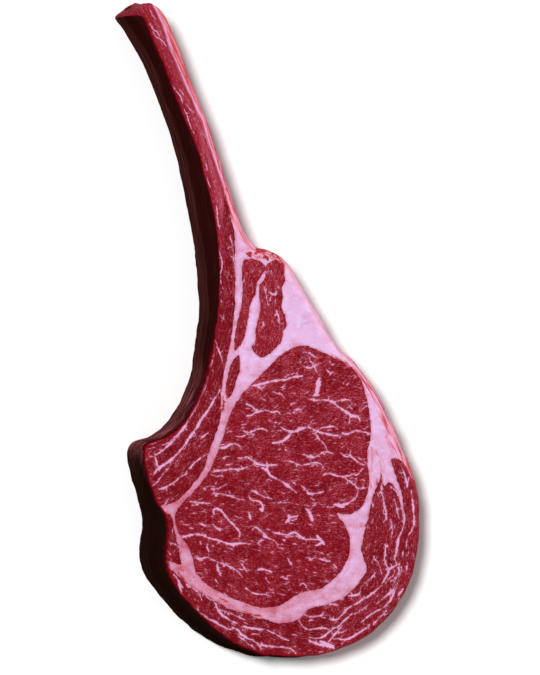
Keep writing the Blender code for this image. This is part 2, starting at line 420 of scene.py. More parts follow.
# ------------------------------------------------------------------ the run of the meat fibres
class Grain:
    """Which way the fibres run in a piece."""

    def lines(self, places: np.ndarray) -> np.ndarray:
        """Coordinates along and across the fibres, in millimetres, one row for each place."""
        raise NotImplementedError

    def heading(self, places: np.ndarray) -> np.ndarray:
        """Find the fibres' direction.

        Args:
            places: Places in plan, one a row.

        Returns:
            The angle of the fibres from +X at each place, in radians.
        """
        shift = 0.5
        right = self.lines(places + (shift, 0.0))[:, 1] - self.lines(places - (shift, 0.0))[:, 1]
        up = self.lines(places + (0.0, shift))[:, 1] - self.lines(places - (0.0, shift))[:, 1]
        return np.arctan2(-right, up)


@dataclass(frozen=True)
class FanGrain(Grain):
    """Fibres that fan out: level in the middle, turning away from it above and below."""

    middle: tuple[float, float] = (-8.0, -92.0)
    fan: float = 0.0034

    def lines(self, places: np.ndarray) -> np.ndarray:
        """Coordinates along and across the fibres, in millimetres, one row for each place."""
        off = places - self.middle
        return np.stack((off[:, 0], off[:, 1] * (1 - self.fan * off[:, 0])), axis=1)


@dataclass
class GuideGrain(Grain):
    """Fibres that run along a guide curve."""

    corners: Corners
    step: float = 1.5
    track: Track = field(init=False)

    def __post_init__(self) -> None:
        """Draw the guide."""
        self.track = Track.through(self.corners, self.step, closed=False)

    def lines(self, places: np.ndarray) -> np.ndarray:
        """Coordinates along and across the fibres, in millimetres, one row for each place."""
        hit = self.track.nearest(places)
        return np.stack((hit.arc, hit.distance * hit.side), axis=1)


RIB_GRAIN = GuideGrain(((-118, 232), (-89.5, 186.5)) + RIB_SIDE + ((-96, -70),))
RIB_MEAT_GRAIN = GuideGrain(
    ((-37, 110), (-32, 74), (-30.5, 30), (-32, -5), (-37, -38), (-47, -64), (-62, -82), (-90, -100))
)
RIM_GRAIN = GuideGrain(
    ((-92, -60),) + LOWER_SIDE + CAP_SIDE + FAT_SIDE + ((-68, 198),)
)
INNER_TAIL_GRAIN = GuideGrain(((-12, 60), (-16, 40), (-19, 20), (-22.5, 0), (-29, -20)))
OUTER_TAIL_GRAIN = GuideGrain(((2, 60), (-1, 38), (-3.5, 18), (-4.5, 0), (-12, -22)))
SEAM_GRAIN = GuideGrain(((-20, 0), (-26, -15), (-30, -30), (-30, -50)))


# ------------------------------------------------------------------ marbling
VEIN_STEP = 0.3     # between the samples of a line, in millimetres
SQUARE_CM = 100.0   # in square millimetres


@dataclass(frozen=True)
class Vein:
    """A line of fat, or of meat in the fat, drawn through spots of the photo."""

    width: float                       # in pixels; below zero it is only a faint trace
    path: tuple[tuple[float, float], ...]

    def line(self) -> Track:
        """The smooth centre line on the cut face."""
        return Track.through(PHOTO.on_face(self.path), VEIN_STEP, closed=False)


def vein(width: float, *path: tuple[float, float]) -> Vein:
    """Name a vein by its width and the spots that it runs through, all in pixels."""
    return Vein(width, path)


Veins = tuple[Vein, ...]


EYE_VEINS: Veins = (
    vein(2.6, (252, 386), (262, 384), (275, 381), (284, 380), (296, 377), (303, 376)),
    vein(1.2, (257, 386), (262, 389)),
    vein(1.4, (304, 352), (310, 353), (316, 357), (322, 357)),
    vein(1.3, (303, 357), (301, 361), (305, 367), (311, 368), (315, 366), (317, 371), (320, 375)),
    vein(1.0, (310, 360), (314, 364)),
    vein(6.2, (320, 379), (319, 386), (317, 395)),
    vein(2.4, (313, 396), (320, 395)),
    vein(2.2, (308, 399), (316, 400), (324, 400), (333, 402), (336, 404)),
    vein(1.6, (335, 402), (343, 400), (351, 400)),
    vein(3.1, (335, 404), (343, 410), (351, 415), (359, 417), (361, 421)),
    vein(5.2, (351, 416), (357, 418)),
    vein(1.4, (351, 418), (350, 424)),
    vein(1.5, (349, 405), (353, 409)),
    vein(1.8, (327, 369), (331, 374)),
    vein(1.1, (348, 385), (350, 382)),
    vein(1.0, (291, 404), (297, 403)),
    vein(2.2, (247, 404), (250, 405), (254, 408), (257, 411)),
    vein(2.0, (247, 416), (252, 415), (257, 412), (264, 411)),
    vein(1.6, (265, 410), (272, 412), (279, 412), (282, 416)),
    vein(1.1, (283, 416), (288, 413), (291, 414)),
    vein(1.6, (295, 410), (303, 409)),
    vein(1.8, (244, 431), (250, 432), (258, 429), (265, 429), (268, 431)),
    vein(1.2, (272, 431), (281, 430)),
    vein(2.4, (281, 427), (288, 431), (294, 432), (299, 430), (304, 428), (311, 428), (316, 431)),
    vein(2.6, (292, 433), (286, 439), (280, 442), (273, 443)),
    vein(1.5, (316, 431), (323, 428), (329, 427), (335, 427), (339, 430)),
    vein(1.9, (316, 432), (324, 433), (331, 435), (339, 436)),
    vein(1.8, (316, 434), (320, 440), (325, 445), (328, 451)),
    vein(1.6, (343, 434), (346, 434), (352, 433), (358, 431), (363, 432), (371, 434)),
    vein(3.6, (343, 433), (349, 435)),
    vein(1.7, (303, 455), (308, 456), (313, 458), (319, 455), (327, 452), (334, 454)),
    vein(3.8, (308, 457), (314, 457)),
    vein(1.6, (341, 453), (347, 457), (351, 456), (357, 461), (363, 465), (366, 465)),
    vein(2.1, (324, 475), (330, 474), (338, 476), (345, 477), (352, 475), (358, 475), (364, 469)),
    vein(1.7, (345, 478), (352, 483), (358, 488), (360, 489), (369, 488)),
    vein(2.0, (359, 490), (358, 497)),
    vein(2.2, (357, 498), (354, 501), (348, 504), (340, 506), (335, 505)),
    vein(3.2, (335, 505), (344, 507)),
    vein(2.0, (302, 486), (307, 490), (309, 494), (315, 494), (324, 492)),
    vein(4.0, (309, 494), (314, 495)),
    vein(1.8, (238, 458), (243, 458), (248, 457), (253, 461), (259, 464), (266, 465), (276, 465)),
    vein(1.5, (213, 472), (222, 470), (231, 469), (240, 469), (247, 467), (254, 464)),
    vein(2.8, (262, 468), (268, 471), (271, 476), (277, 479)),
    vein(2.0, (267, 461), (268, 470)),
    vein(1.4, (277, 479), (284, 482), (288, 485), (293, 490), (297, 493)),
    vein(2.8, (285, 484), (290, 488)),
    vein(2.2, (219, 448), (226, 447), (231, 444), (236, 444), (241, 447)),
    vein(1.1, (211, 474), (217, 476), (223, 475)),
    vein(2.1, (218, 489), (221, 487), (227, 484)),
    vein(1.2, (217, 482), (216, 484)),
    vein(1.0, (213, 493), (222, 494), (232, 496), (240, 499), (246, 500)),
    vein(1.0, (252, 490), (258, 494), (266, 497), (272, 499)),
    vein(2.0, (249, 495), (251, 499), (257, 501), (262, 504), (263, 509), (261, 511)),
    vein(3.4, (260, 509), (263, 511)),
    vein(1.8, (191, 501), (200, 502), (208, 503), (211, 503)),
    vein(1.8, (215, 514), (214, 510), (217, 508), (222, 511), (227, 517), (232, 523), (237, 528)),
    vein(1.7, (237, 528), (240, 532), (240, 537)),
    vein(2.0, (201, 523), (206, 525), (211, 526)),
    vein(1.3, (214, 524), (216, 527), (221, 530)),
    vein(2.4, (181, 538), (186, 536), (193, 534), (200, 534), (206, 536), (210, 538), (217, 539)),
    vein(2.5, (217, 539), (224, 542), (232, 544), (242, 543), (250, 544)),
    vein(1.5, (209, 540), (208, 546), (210, 551)),
    vein(1.1, (201, 541), (202, 544)),
    vein(1.6, (194, 553), (198, 558), (204, 558), (208, 557), (214, 560), (219, 562), (226, 564)),
    vein(1.5, (218, 562), (219, 569), (222, 576)),
    vein(1.0, (226, 564), (232, 567), (238, 571), (243, 577)),
    vein(1.2, (241, 563), (244, 566), (247, 571)),
    vein(2.6, (249, 513), (251, 519)),
    vein(1.6, (254, 526), (260, 530), (265, 535), (269, 538), (274, 540), (278, 545)),
    vein(2.8, (264, 536), (267, 538)),
    vein(1.9, (259, 541), (264, 540)),
    vein(2.0, (273, 532), (281, 534), (288, 535), (294, 533), (299, 535), (304, 539), (310, 540)),
    vein(1.8, (310, 540), (318, 540)),
    vein(2.8, (317, 536), (325, 545)),
    vein(2.8, (316, 546), (322, 543)),
    vein(2.6, (306, 509), (309, 512), (311, 516), (313, 521)),
    vein(2.4, (289, 515), (289, 520), (286, 523)),
    vein(1.1, (290, 518), (298, 516)),
    vein(1.5, (283, 508), (285, 511)),
    vein(2.3, (288, 558), (290, 562), (292, 565)),
    vein(2.6, (256, 571), (261, 569), (266, 570), (272, 572)),
    vein(1.4, (319, 559), (326, 561), (331, 562)),
    vein(1.1, (334, 565), (338, 569)),
    vein(1.1, (270, 503), (278, 503), (290, 503), (299, 505)),
    vein(1.1, (284, 461), (292, 462), (300, 465), (308, 464), (316, 463), (322, 465), (325, 470)),
    vein(1.3, (246, 587), (252, 592), (260, 594), (268, 595), (272, 597)),
    vein(1.2, (225, 593), (230, 598)),
    vein(1.8, (300, 586), (304, 584), (309, 590)),
    vein(1.1, (266, 578), (270, 583)),
    vein(1.3, (216, 579), (219, 583)),
    vein(1.5, (273, 392), (279, 394)),
    vein(1.4, (280, 393), (285, 398)),
    vein(1.4, (292, 393), (296, 394)),
)

TAIL_VEINS: Veins = (
    vein(1.3, (265, 287), (267, 296), (269, 305)),
    vein(2.6, (270, 292), (276, 295), (277, 291)),
    vein(1.2, (270, 301), (272, 297)),
    vein(1.3, (279, 285), (281, 290)),
    vein(2.0, (264, 322), (265, 326)),
    vein(1.1, (277, 310), (280, 320), (281, 330)),
)

RIB_VEINS: Veins = (
    vein(1.0, (217, 206), (219, 220), (219, 226)),
    vein(1.0, (219, 248), (222, 258), (223, 268), (221, 276), (222, 284)),
    vein(1.2, (231, 236), (233, 244)),
    vein(1.0, (234, 245), (235, 262), (236, 275)),
    vein(1.2, (222, 299), (223, 303)),
    vein(0.9, (221, 315), (225, 319)),
    vein(1.1, (216, 340), (219, 348), (222, 356), (224, 364)),
    vein(2.7, (221, 390), (215, 400), (209, 410), (203, 418), (197, 428), (190, 438), (184, 447)),
    vein(2.8, (184, 447), (175, 457), (167, 463), (160, 468), (155, 474)),
    vein(1.7, (222, 392), (226, 398), (223, 403), (223, 412)),
    vein(1.7, (211, 452), (203, 457), (196, 462), (190, 468)),
    vein(2.0, (188, 473), (181, 477), (175, 482), (166, 487), (160, 489)),
    vein(1.1, (170, 468), (164, 474), (159, 481), (154, 485)),
    vein(1.7, (156, 453), (157, 459), (159, 466)),
    vein(1.2, (145, 462), (150, 457), (156, 456)),
    vein(2.0, (190, 415), (187, 425), (180, 434), (172, 443), (165, 449), (157, 455)),
    vein(1.2, (202, 438), (206, 435), (209, 433)),
    vein(1.2, (160, 510), (165, 505), (170, 498)),
    vein(0.9, (208, 373), (204, 385), (199, 396), (193, 407), (189, 416)),
)

CAP_VEINS: Veins = (
    vein(1.4, (403, 466), (407, 478), (409, 488)),
    vein(1.3, (411, 478), (409, 488)),
    vein(2.5, (392, 487), (398, 492), (402, 500), (404, 510), (406, 518), (406, 523), (404, 531)),
    vein(2.5, (404, 531), (400, 540), (398, 552), (397, 560), (399, 566)),
    vein(1.7, (399, 566), (393, 569), (390, 572)),
    vein(1.7, (383, 484), (383, 492), (385, 500), (386, 508), (388, 518), (385, 523)),
    vein(2.6, (387, 515), (388, 521)),
    vein(1.2, (384, 490), (380, 495)),
    vein(1.9, (387, 545), (387, 553), (386, 560), (388, 566), (390, 572), (387, 579), (383, 586)),
    vein(1.9, (383, 586), (377, 592), (370, 597), (362, 602), (355, 606), (348, 610)),
    vein(1.8, (348, 610), (343, 616), (339, 620), (330, 620)),
    vein(2.1, (413, 492), (414, 500), (415, 510), (416, 520), (415, 528), (411, 536)),
    vein(1.6, (409, 540), (408, 550)),
    vein(1.5, (405, 553), (404, 558)),
    vein(1.6, (411, 553), (409, 557)),
    vein(1.4, (401, 565), (400, 575), (396, 583), (394, 588)),
    vein(1.2, (409, 567), (407, 575)),
    vein(1.7, (405, 590), (400, 597)),
    vein(1.9, (399, 585), (396, 593), (391, 603), (384, 609), (376, 613), (369, 618), (362, 624)),
    vein(1.3, (391, 596), (398, 590)),
    vein(1.4, (388, 612), (381, 619), (374, 625)),
    vein(2.4, (352, 639), (360, 634), (368, 629)),
    vein(2.2, (345, 641), (352, 639), (358, 635)),
    vein(1.9, (311, 638), (318, 639), (325, 637), (332, 631), (340, 627), (346, 621), (350, 618)),
    vein(2.6, (310, 641), (316, 644), (324, 646), (332, 648)),
    vein(4.0, (325, 646), (335, 647)),
    vein(1.4, (335, 640), (340, 640), (346, 641)),
    vein(1.7, (339, 629), (340, 635)),
    vein(1.7, (300, 621), (304, 627), (309, 630), (318, 629), (326, 629), (332, 631)),
    vein(1.7, (328, 604), (334, 605), (339, 606)),
    vein(1.7, (350, 597), (357, 596), (361, 594), (362, 589)),
    vein(2.0, (203, 590), (209, 597), (216, 602), (219, 609), (225, 616), (231, 620), (238, 623)),
    vein(1.7, (187, 583), (195, 588), (201, 595), (203, 600)),
    vein(1.4, (181, 596), (188, 602), (195, 607), (202, 613), (208, 616)),
    vein(1.7, (205, 616), (213, 620), (222, 625), (230, 629), (236, 628)),
    vein(2.1, (233, 627), (239, 630), (242, 634), (248, 638), (255, 641), (260, 645), (262, 650)),
    vein(1.7, (243, 626), (251, 628), (258, 629), (267, 630)),
    vein(1.4, (267, 630), (274, 633), (281, 637), (290, 641)),
    vein(1.7, (258, 645), (266, 646), (276, 647), (287, 648), (293, 650), (297, 654)),
    vein(1.7, (175, 574), (180, 580), (184, 587)),
    vein(1.7, (179, 580), (182, 590), (182, 596)),
    vein(1.1, (168, 541), (175, 543), (181, 547)),
    vein(1.0, (166, 548), (172, 554)),
    vein(1.0, (163, 550), (170, 556)),
    vein(4.4, (321, 642), (328, 645), (335, 649)),
    vein(2.6, (330, 642), (337, 634), (343, 627)),
    vein(1.0, (396, 500), (398, 510), (401, 520)),
    vein(0.9, (392, 520), (394, 532), (392, 541)),
    vein(0.9, (376, 560), (381, 566), (383, 575)),
    vein(0.9, (366, 585), (372, 580), (378, 573)),
    vein(1.0, (402, 575), (399, 584), (393, 592), (386, 599), (378, 605)),
    vein(0.9, (372, 604), (364, 610), (356, 615)),
    vein(0.9, (300, 612), (308, 616), (318, 617), (326, 613)),
    vein(0.8, (216, 607), (226, 611), (236, 615), (246, 620)),
    vein(0.8, (238, 634), (247, 642), (256, 648)),
    vein(0.9, (191, 577), (199, 583), (207, 590)),
)

CREST_LINE: Corners = (
    (155, 5), (160.5, 16), (166.5, 30), (172, 47), (179.5, 66), (188, 86), (193.5, 98), (199, 110),
    (205, 124), (210, 141), (215, 156), (220, 171), (226, 189), (230, 206), (235, 220), (239, 232),
    (246, 244),
)

HANDLE_VEINS: Veins = (
    vein(0.8, (151, 25), (155, 31), (158, 33), (161, 37)),
    vein(0.7, (154, 33), (157, 38), (163, 42), (168, 48)),
    vein(0.5, (150, 9), (153, 15), (157, 21)),
    vein(1.2, (172, 84), (176, 90), (181, 96), (184, 104)),
    vein(0.8, (181, 90), (185, 96)),
    vein(0.7, (188, 105), (191, 110), (195, 113)),
    vein(1.0, (185, 109), (188, 116), (192, 128), (195, 134)),
    vein(0.8, (203, 131), (207, 139), (211, 151), (217, 164)),
    vein(0.9, (207, 164), (208, 171)),
    vein(0.8, (208, 179), (211, 188)),
    vein(1.9, (213.5, 360), (210, 372), (205.2, 388), (199.2, 402), (193.2, 414), (188, 423)),
    vein(1.3, (187.5, 423), (179, 434), (171, 441), (161, 446)),
    vein(0.5, (132, 447), (146, 445), (160, 441), (172, 433)),
    vein(0.5, (134, 451), (146, 449), (156, 447)),
)

MEAT_IN_FAT: Veins = (
    vein(2.2, (224, 396), (224, 404), (223, 411)),
    vein(5.4, (249.9, 254), (250.7, 254)),
    vein(3.4, (256, 254), (260, 252), (265, 254)),
    vein(3.2, (264, 258), (267, 257), (269, 260)),
    vein(2.4, (258, 258), (261, 257)),
    vein(2.8, (257, 251), (262, 249.5), (268, 252)),
    vein(2.4, (271, 256), (275, 253.5), (280, 257)),
    vein(1.8, (247, 252), (249, 256), (252, 257)),
    vein(0.8, (257, 249), (263, 249), (270, 251), (276, 254)),
    vein(2.4, (274, 257), (279, 258), (283, 263), (285, 270), (285, 278)),
    vein(-0.8, (244, 250), (250, 248), (256, 250), (254, 259), (246, 259)),
    vein(1.6, (332, 355), (341, 360), (350, 366), (357, 373), (362, 380)),
    vein(-1.2, (373, 448), (373, 460), (372, 472)),
    vein(-1.0, (384, 420), (388, 434), (391, 444)),
    vein(-1.0, (387, 437), (391, 446), (395, 455)),
    vein(-0.9, (392, 451), (392, 458), (391, 466)),
    vein(-1.0, (381, 462), (383, 471), (382, 480)),
    vein(-0.8, (371, 482), (374, 492), (375, 505)),
    vein(-1.2, (377, 452), (384, 462), (386, 468)),
    vein(1.6, (382.5, 474), (383, 485)),
    vein(1.2, (378, 480), (379, 488)),
    vein(-1.2, (368, 524), (367, 535)),
    vein(-1.2, (350, 526), (360, 528), (368, 525)),
    vein(-1.0, (352, 556), (350, 566), (344, 576)),
    vein(-1.2, (300, 603), (312, 602), (324, 596)),
    vein(-1.2, (262, 610), (276, 612), (290, 608)),
    vein(-1.2, (205, 585), (215, 594), (228, 602)),
    vein(0.4, (231, 389), (228, 396), (226, 402)),
    vein(-1.5, (174, 562), (182, 566), (190, 570), (197, 577)),
    vein(1.6, (179, 571), (184, 577), (189, 583)),
    vein(-1.1, (196, 580), (206, 589), (218, 596), (232, 602)),
    vein(-0.9, (246, 606), (262, 606), (276, 607)),
    vein(0.9, (236, 609), (248, 613), (262, 616)),
    vein(3.6, (157, 558), (164, 557), (170, 557)),
    vein(2.4, (156, 513), (163, 513), (168, 512)),
)


@dataclass
class Marbling:
    """Fine lines in the meat, held as close-set samples with a half width each."""

    seed: int
    sample_step: float = VEIN_STEP
    anchor_step: float = 0.7           # between the samples that become plan points
    reach_limit: float = 2.5           # further away than this makes no difference
    neighbours: int = 12
    thinning: float = 0.86             # what a line measures, as a share of how wide it looks
    blunt: float = 0.02                # share of a line left out of its arch at either end
    width_ripples: Ripples = ((0.32, 3.4), (0.28, 1.0))
    sway_ripples: Ripples = ((0.22, 2.2), (0.14, 0.9))
    barb_lean: Span = (25, 70)         # degrees between a barb and its vein
    barb_length: Span = (1.0, 3.2)
    barb_width: Span = (-0.3, 0.3)     # below zero a line is only a faint trace
    streak_tip: float = 0.2
    streak_bend: float = 0.16          # the most that a streak bends, as a share of its length
    fleck_turn: float = 0.3            # spread of the flecks' directions, in radians
    fleck_spread: Span = (0.75, 0.5)   # middle and spread of the logarithm of their lengths
    fleck_length: Span = (0.8, 6.0)
    fleck_width: Span = (-0.35, 0.3)
    spots: list[np.ndarray] = field(default_factory=list)
    halves: list[np.ndarray] = field(default_factory=list)
    anchors: list[np.ndarray] = field(default_factory=list)
    source: np.random.Generator = field(init=False)

    def __post_init__(self) -> None:
        """Seed the random choices."""
        self.source = np.random.default_rng(self.seed)

    def add_line(self, line: Track, width: float, tip: float = 0.35) -> None:
        """Add one line.

        Args:
            line: Its centre line.
            width: Its width in the middle, in millimetres.
            tip: How wide its ends are, as a share of its middle.
        """
        along = line.arcs / line.arcs[-1]
        arch = np.sqrt(np.sin(math.pi * np.clip(along, self.blunt, 1 - self.blunt)))
        rough = self.ripple(line.arcs, self.width_ripples, 1.0)
        sway = arch * self.ripple(line.arcs, self.sway_ripples)
        slope = np.gradient(line.points, axis=0)
        across = np.stack((-slope[:, 1], slope[:, 0]), axis=1)
        across /= np.linalg.norm(across, axis=1, keepdims=True)
        spots = line.points + across * sway[:, None]
        self.spots.append(spots)
        self.halves.append(width / 2 * (tip + (1 - tip) * arch) * rough)
        every = round(self.anchor_step / self.sample_step)
        self.anchors.append(np.concatenate((spots[::every], spots[-1:])))

    def ripple(self, arcs: np.ndarray, ripples: Ripples, start: float = 0.0) -> np.ndarray:
        """Draw random ups and downs along a line.

        Args:
            arcs: Length along the line at every place.
            ripples: How high each ripple is and how far apart its stops are.
            start: What they are added to.

        Returns:
            One value for each place.
        """
        total = start
        for height, length in ripples:
            stops = np.arange(0, arcs[-1] + 2 * length, length)
            total = total + height * np.interp(arcs, stops, self.source.uniform(-1, 1, len(stops)))
        return total

    def add_vein(self, drawn: Vein, barb_gap: float = 5.0) -> None:
        """Add a vein seen in the photo, with the short barbs that veins throw off.

        Args:
            drawn: The vein.
            barb_gap: Rough distance between barbs, in millimetres.
        """
        line = drawn.line()
        self.add_line(line, drawn.width * PHOTO.mm_per_px * self.thinning)
        for _ in range(self.source.poisson(line.arcs[-1] / barb_gap)):
            root = self.source.integers(1, len(line.points) - 1) if len(line.points) > 3 else 1
            span = line.points[root] - line.points[root - 1]
            lean = math.radians(self.source.uniform(*self.barb_lean)) * self.source.choice((-1, 1))
            angle = math.atan2(span[1], span[0]) + lean + self.source.choice((0.0, math.pi))
            self.add_streak(line.points[root], angle, self.source.uniform(*self.barb_length),
                            self.source.uniform(*self.barb_width), rooted=True)

    def add_streak(self, spot: np.ndarray, angle: float, length: float, width: float,
                   rooted: bool = False) -> None:
        """Add a short, slightly bent streak.

        Args:
            spot: Its middle, or its root.
            angle: Its direction from +X, in radians.
            length: Its length in millimetres.
            width: Its width in millimetres.
            rooted: Whether it starts at the spot.
        """
        way = np.array((math.cos(angle), math.sin(angle)))
        start = spot if rooted else spot - way * length / 2
        bend = np.array((-way[1], way[0])) * length
        bend = bend * self.source.uniform(-self.streak_bend, self.streak_bend)
        corners = (start, start + way * length / 2 + bend, start + way * length)
        self.add_line(Track.through(corners, self.sample_step, closed=False), width, self.streak_tip)

    def scatter(self, region: Track, grain: Grain, density: float) -> int:
        """Strew short flecks along the fibres.

        Args:
            region: The outline to fill.
            grain: Which way the fibres run.
            density: Flecks on a square centimetre.

        Returns:
            How many flecks were added.
        """
        low, high = region.points.min(axis=0), region.points.max(axis=0)
        count = int(np.prod(high - low) / SQUARE_CM * density)
        places = self.source.uniform(low, high, (count, 2))
        places = places[region.holds(places)]
        angles = grain.heading(places) + self.source.normal(0.0, self.fleck_turn, len(places))
        lengths = np.clip(self.source.lognormal(*self.fleck_spread, len(places)), *self.fleck_length)
        widths = self.source.uniform(*self.fleck_width, len(places))
        for place, angle, length, width in zip(places, angles, lengths, widths):
            self.add_streak(place, angle, length, width)
        return len(places)

    def distance(self, places: np.ndarray) -> np.ndarray:
        """Measure how far places are from the lines' edges.

        Args:
            places: Places in plan, one a row.

        Returns:
            Millimetres to the nearest edge, negative inside a line.
        """
        halves = np.concatenate(self.halves)
        tree = Nearby(self.spots).tree
        result = np.full(len(places), self.reach_limit)
        for row, (x, y) in enumerate(places):
            for _, index, gap in tree.find_n((x, y, 0.0), self.neighbours):
                edge = gap - halves[index]
                if edge < result[row]:
                    result[row] = edge
        return result


# ------------------------------------------------------------------ the form of the steak
@dataclass(frozen=True)
class Bumps:
    """Noise of one height and size on the steak, in millimetres."""

    noise: ValueNoise
    height: float
    size: Span
    shift: Span = (0.0, 0.0)           # moves it, so that two of one noise differ

    def at(self, u: np.ndarray, v: np.ndarray) -> np.ndarray:
        """Read the bumps' height at each place."""
        cells_u, cells_v = u / self.size[0] + self.shift[0], v / self.size[1] + self.shift[1]
        return self.height * self.noise.at(cells_u, cells_v)


COARSE, FINE, RIDGE, TEAR = (ValueNoise(seed) for seed in (11, 12, 13, 14))


@dataclass(frozen=True)
class SteakForm:
    """Heights and roundings of the whole steak, in millimetres: the same as the solids have."""

    thickness: float = 43.0
    under_round: float = 3.0
    side_bulge: float = 0.9
    rib_edge: float = 3.0
    handle_edge: float = 4.5
    fat_edge: float = 9.0
    shoulder_top: float = 1.0
    eye_crown: float = 1.4
    face_wave: float = 0.5
    eye_centre: Span = (0.0, -88.0)
    eye_reach: Span = (62.0, 82.0)
    wave_size: Span = (17.0, 23.0)
    wave_shift: Span = (1.1, -0.4)
    rib_turn: Span = (-0.35, 0.45)     # sideways part of the outward way, rib side to outer side
    handle_rise: Span = (30.0, 75.0)   # y where the head gives way to the handle
    ridge_rise: Span = (55.0, 85.0)    # y where the handle's ridges set in
    calm_rise: Span = (30.0, 80.0)     # y where the outline calms down along the handle
    calm_edge: float = 0.5             # how much of its bumps it keeps there
    swell_rise: Span = (0.2, 4.0)      # distance from a seam
    groove_width: float = 0.6
    bony_end: Span = (10.5, 13.0)      # corner numbers where the rib side's strong bands die down
    calm: float = 0.35                 # how strong the bands are from there on
    torn_bulge: float = 0.5            # how much of the sides' belly the cut end of the handle has
    blend: float = 0.6                 # how softly the shoulder runs into the cut face
    rows: int = 26                     # rows of faces up the side
    edge_bumps: Bumps = Bumps(TEAR, 0.55, (8.5, 8.5), (20.0, 0.0))
    edge_nicks: Bumps = Bumps(TEAR, 0.2, (2.8, 2.8), (0.0, 70.0))
    seam_bumps: Bumps = Bumps(TEAR, 0.42, (3.1, 3.1))
    seam_nicks: Bumps = Bumps(TEAR, 0.24, (1.2, 1.2), (50.0, 0.0))
    face_bumps: Bumps = Bumps(COARSE, 0.2, (9.0, 9.0))
    face_grit: Bumps = Bumps(FINE, 0.09, (2.7, 2.7))
    handle_ridges: Bumps = Bumps(RIDGE, 0.34, (13.0, 2.3))
    side_bands: Bumps = Bumps(RIDGE, 0.36, (23.0, 4.2), (7.0, 0.0))
    side_threads: Bumps = Bumps(FINE, 0.17, (9.0, 1.7))
    side_lumps: Bumps = Bumps(COARSE, 0.3, (8.0, 9.0), (0.0, 40.0))
    handle_crags: Bumps = Bumps(FINE, 0.75, (1.9, 6.0), (0.0, 20.0))
    seam_swell: float = 0.18           # how much the middle of a muscle stands above its seam
    seam_groove: float = 0.12

    def uneven(self, outline: Track) -> Track:
        """The steak's outline with the slow bumps that a hand-cut edge has."""
        x, y = outline.points.T
        out = self.edge_bumps.at(x, y) + self.edge_nicks.at(x, y)
        out = out * (1 - (1 - self.calm_edge) * ease(y, *self.calm_rise))
        return Track(outline.points + outline.normals() * out[:, None], outline.knots, True)

    def ragged(self, outline: Track) -> np.ndarray:
        """The points of a seam, moved a little in and out as a cut seam is."""
        x, y = outline.points.T
        out = self.seam_bumps.at(x, y) + self.seam_nicks.at(x, y)
        return outline.points + outline.normals() * out[:, None]

    def face(self, places: np.ndarray) -> np.ndarray:
        """Height of the gently uneven cut face at each place."""
        x, y = places.T
        out = ((x - self.eye_centre[0]) / self.eye_reach[0]) ** 2
        out = out + ((y - self.eye_centre[1]) / self.eye_reach[1]) ** 2
        crown = self.eye_crown * np.maximum(0.0, 1.0 - out)
        waves = np.sin(x / self.wave_size[0] + self.wave_shift[0])
        waves = waves * np.cos(y / self.wave_size[1] + self.wave_shift[1])
        return self.thickness - self.eye_crown + crown + self.face_wave * (waves - 1.0) / 2

    def edge_radius(self, outline: Track) -> np.ndarray:
        """Radius of the top edge at every point of the outline."""
        handle = ease(outline.points[:, 1], *self.handle_rise)
        outer = self.fat_edge + (self.handle_edge - self.fat_edge) * handle
        return self.rib_edge + (outer - self.rib_edge) * ease(outline.normals()[:, 0], *self.rib_turn)

    def top(self, places: np.ndarray, rim: np.ndarray, radius: np.ndarray) -> np.ndarray:
        """Height of the upper surface.

        Args:
            places: Places in plan, one a row.
            rim: Distance of each place from the outline.
            radius: Radius of the top edge nearest to each place.

        Returns:
            One height for each place.
        """
        inset = radius - np.minimum(rim, radius)
        shoulder = self.thickness + self.shoulder_top - radius
        shoulder = shoulder + np.sqrt(np.maximum(radius**2 - inset**2, 0.0))
        face = self.face(places)
        low = np.minimum(shoulder, face)
        return low - self.blend * np.log1p(np.exp(-np.abs(shoulder - face) / self.blend))

    def under(self, rim: np.ndarray) -> np.ndarray:
        """Height of the lower surface: flat, with a rounded edge."""
        inset = self.under_round - np.minimum(rim, self.under_round)
        return self.under_round - np.sqrt(np.maximum(self.under_round**2 - inset**2, 0.0))

    def relief(self, places: np.ndarray, seam: np.ndarray, lengthwise: np.ndarray) -> np.ndarray:
        """Small unevenness of the cut face.

        Args:
            places: Places in plan, one a row.
            seam: Distance from the nearest seam between two pieces.
            lengthwise: Coordinates along and across the rib.

        Returns:
            Height to add at each place.
        """
        x, y = places.T
        rise = self.face_bumps.at(x, y) + self.face_grit.at(x, y)
        rise = rise + self.seam_swell * ease(seam, *self.swell_rise)
        rise = rise - self.seam_groove * np.exp(-((seam / self.groove_width) ** 2))
        return rise + self.handle_ridges.at(*lengthwise.T) * ease(y, *self.ridge_rise)

    def side(self, arc: np.ndarray, level: np.ndarray, knot: np.ndarray) -> np.ndarray:
        """How far the side stands out.

        Args:
            arc: Length along the outline.
            level: Height as a share of the side's height.
            knot: Corner number along the outline.

        Returns:
            Millimetres outwards for each place.
        """
        height = level * (self.thickness - self.under_round)
        hold = np.sqrt(np.clip(np.sin(math.pi * level), 0.0, 1.0))
        belly = self.side_bulge * (1 - (2 * level - 1) ** 2)
        bony = 1 - (1 - self.calm) * ease(knot, *self.bony_end)
        bands = bony * (self.side_bands.at(arc, height) + self.side_threads.at(arc, height))
        torn = np.where((knot > HANDLE_CUT_FROM) | (knot < HANDLE_CUT_TO), 1.0, 0.0)
        crags = torn * self.handle_crags.at(arc, height)
        belly = belly * (1 - (1 - self.torn_bulge) * torn)
        return belly + hold * (bands + self.side_lumps.at(arc, height) + crags)


# ------------------------------------------------------------------ the plan of the cut face
INSIDE_ONLY = 1     # what the triangulation hands back: the triangles inside its loops

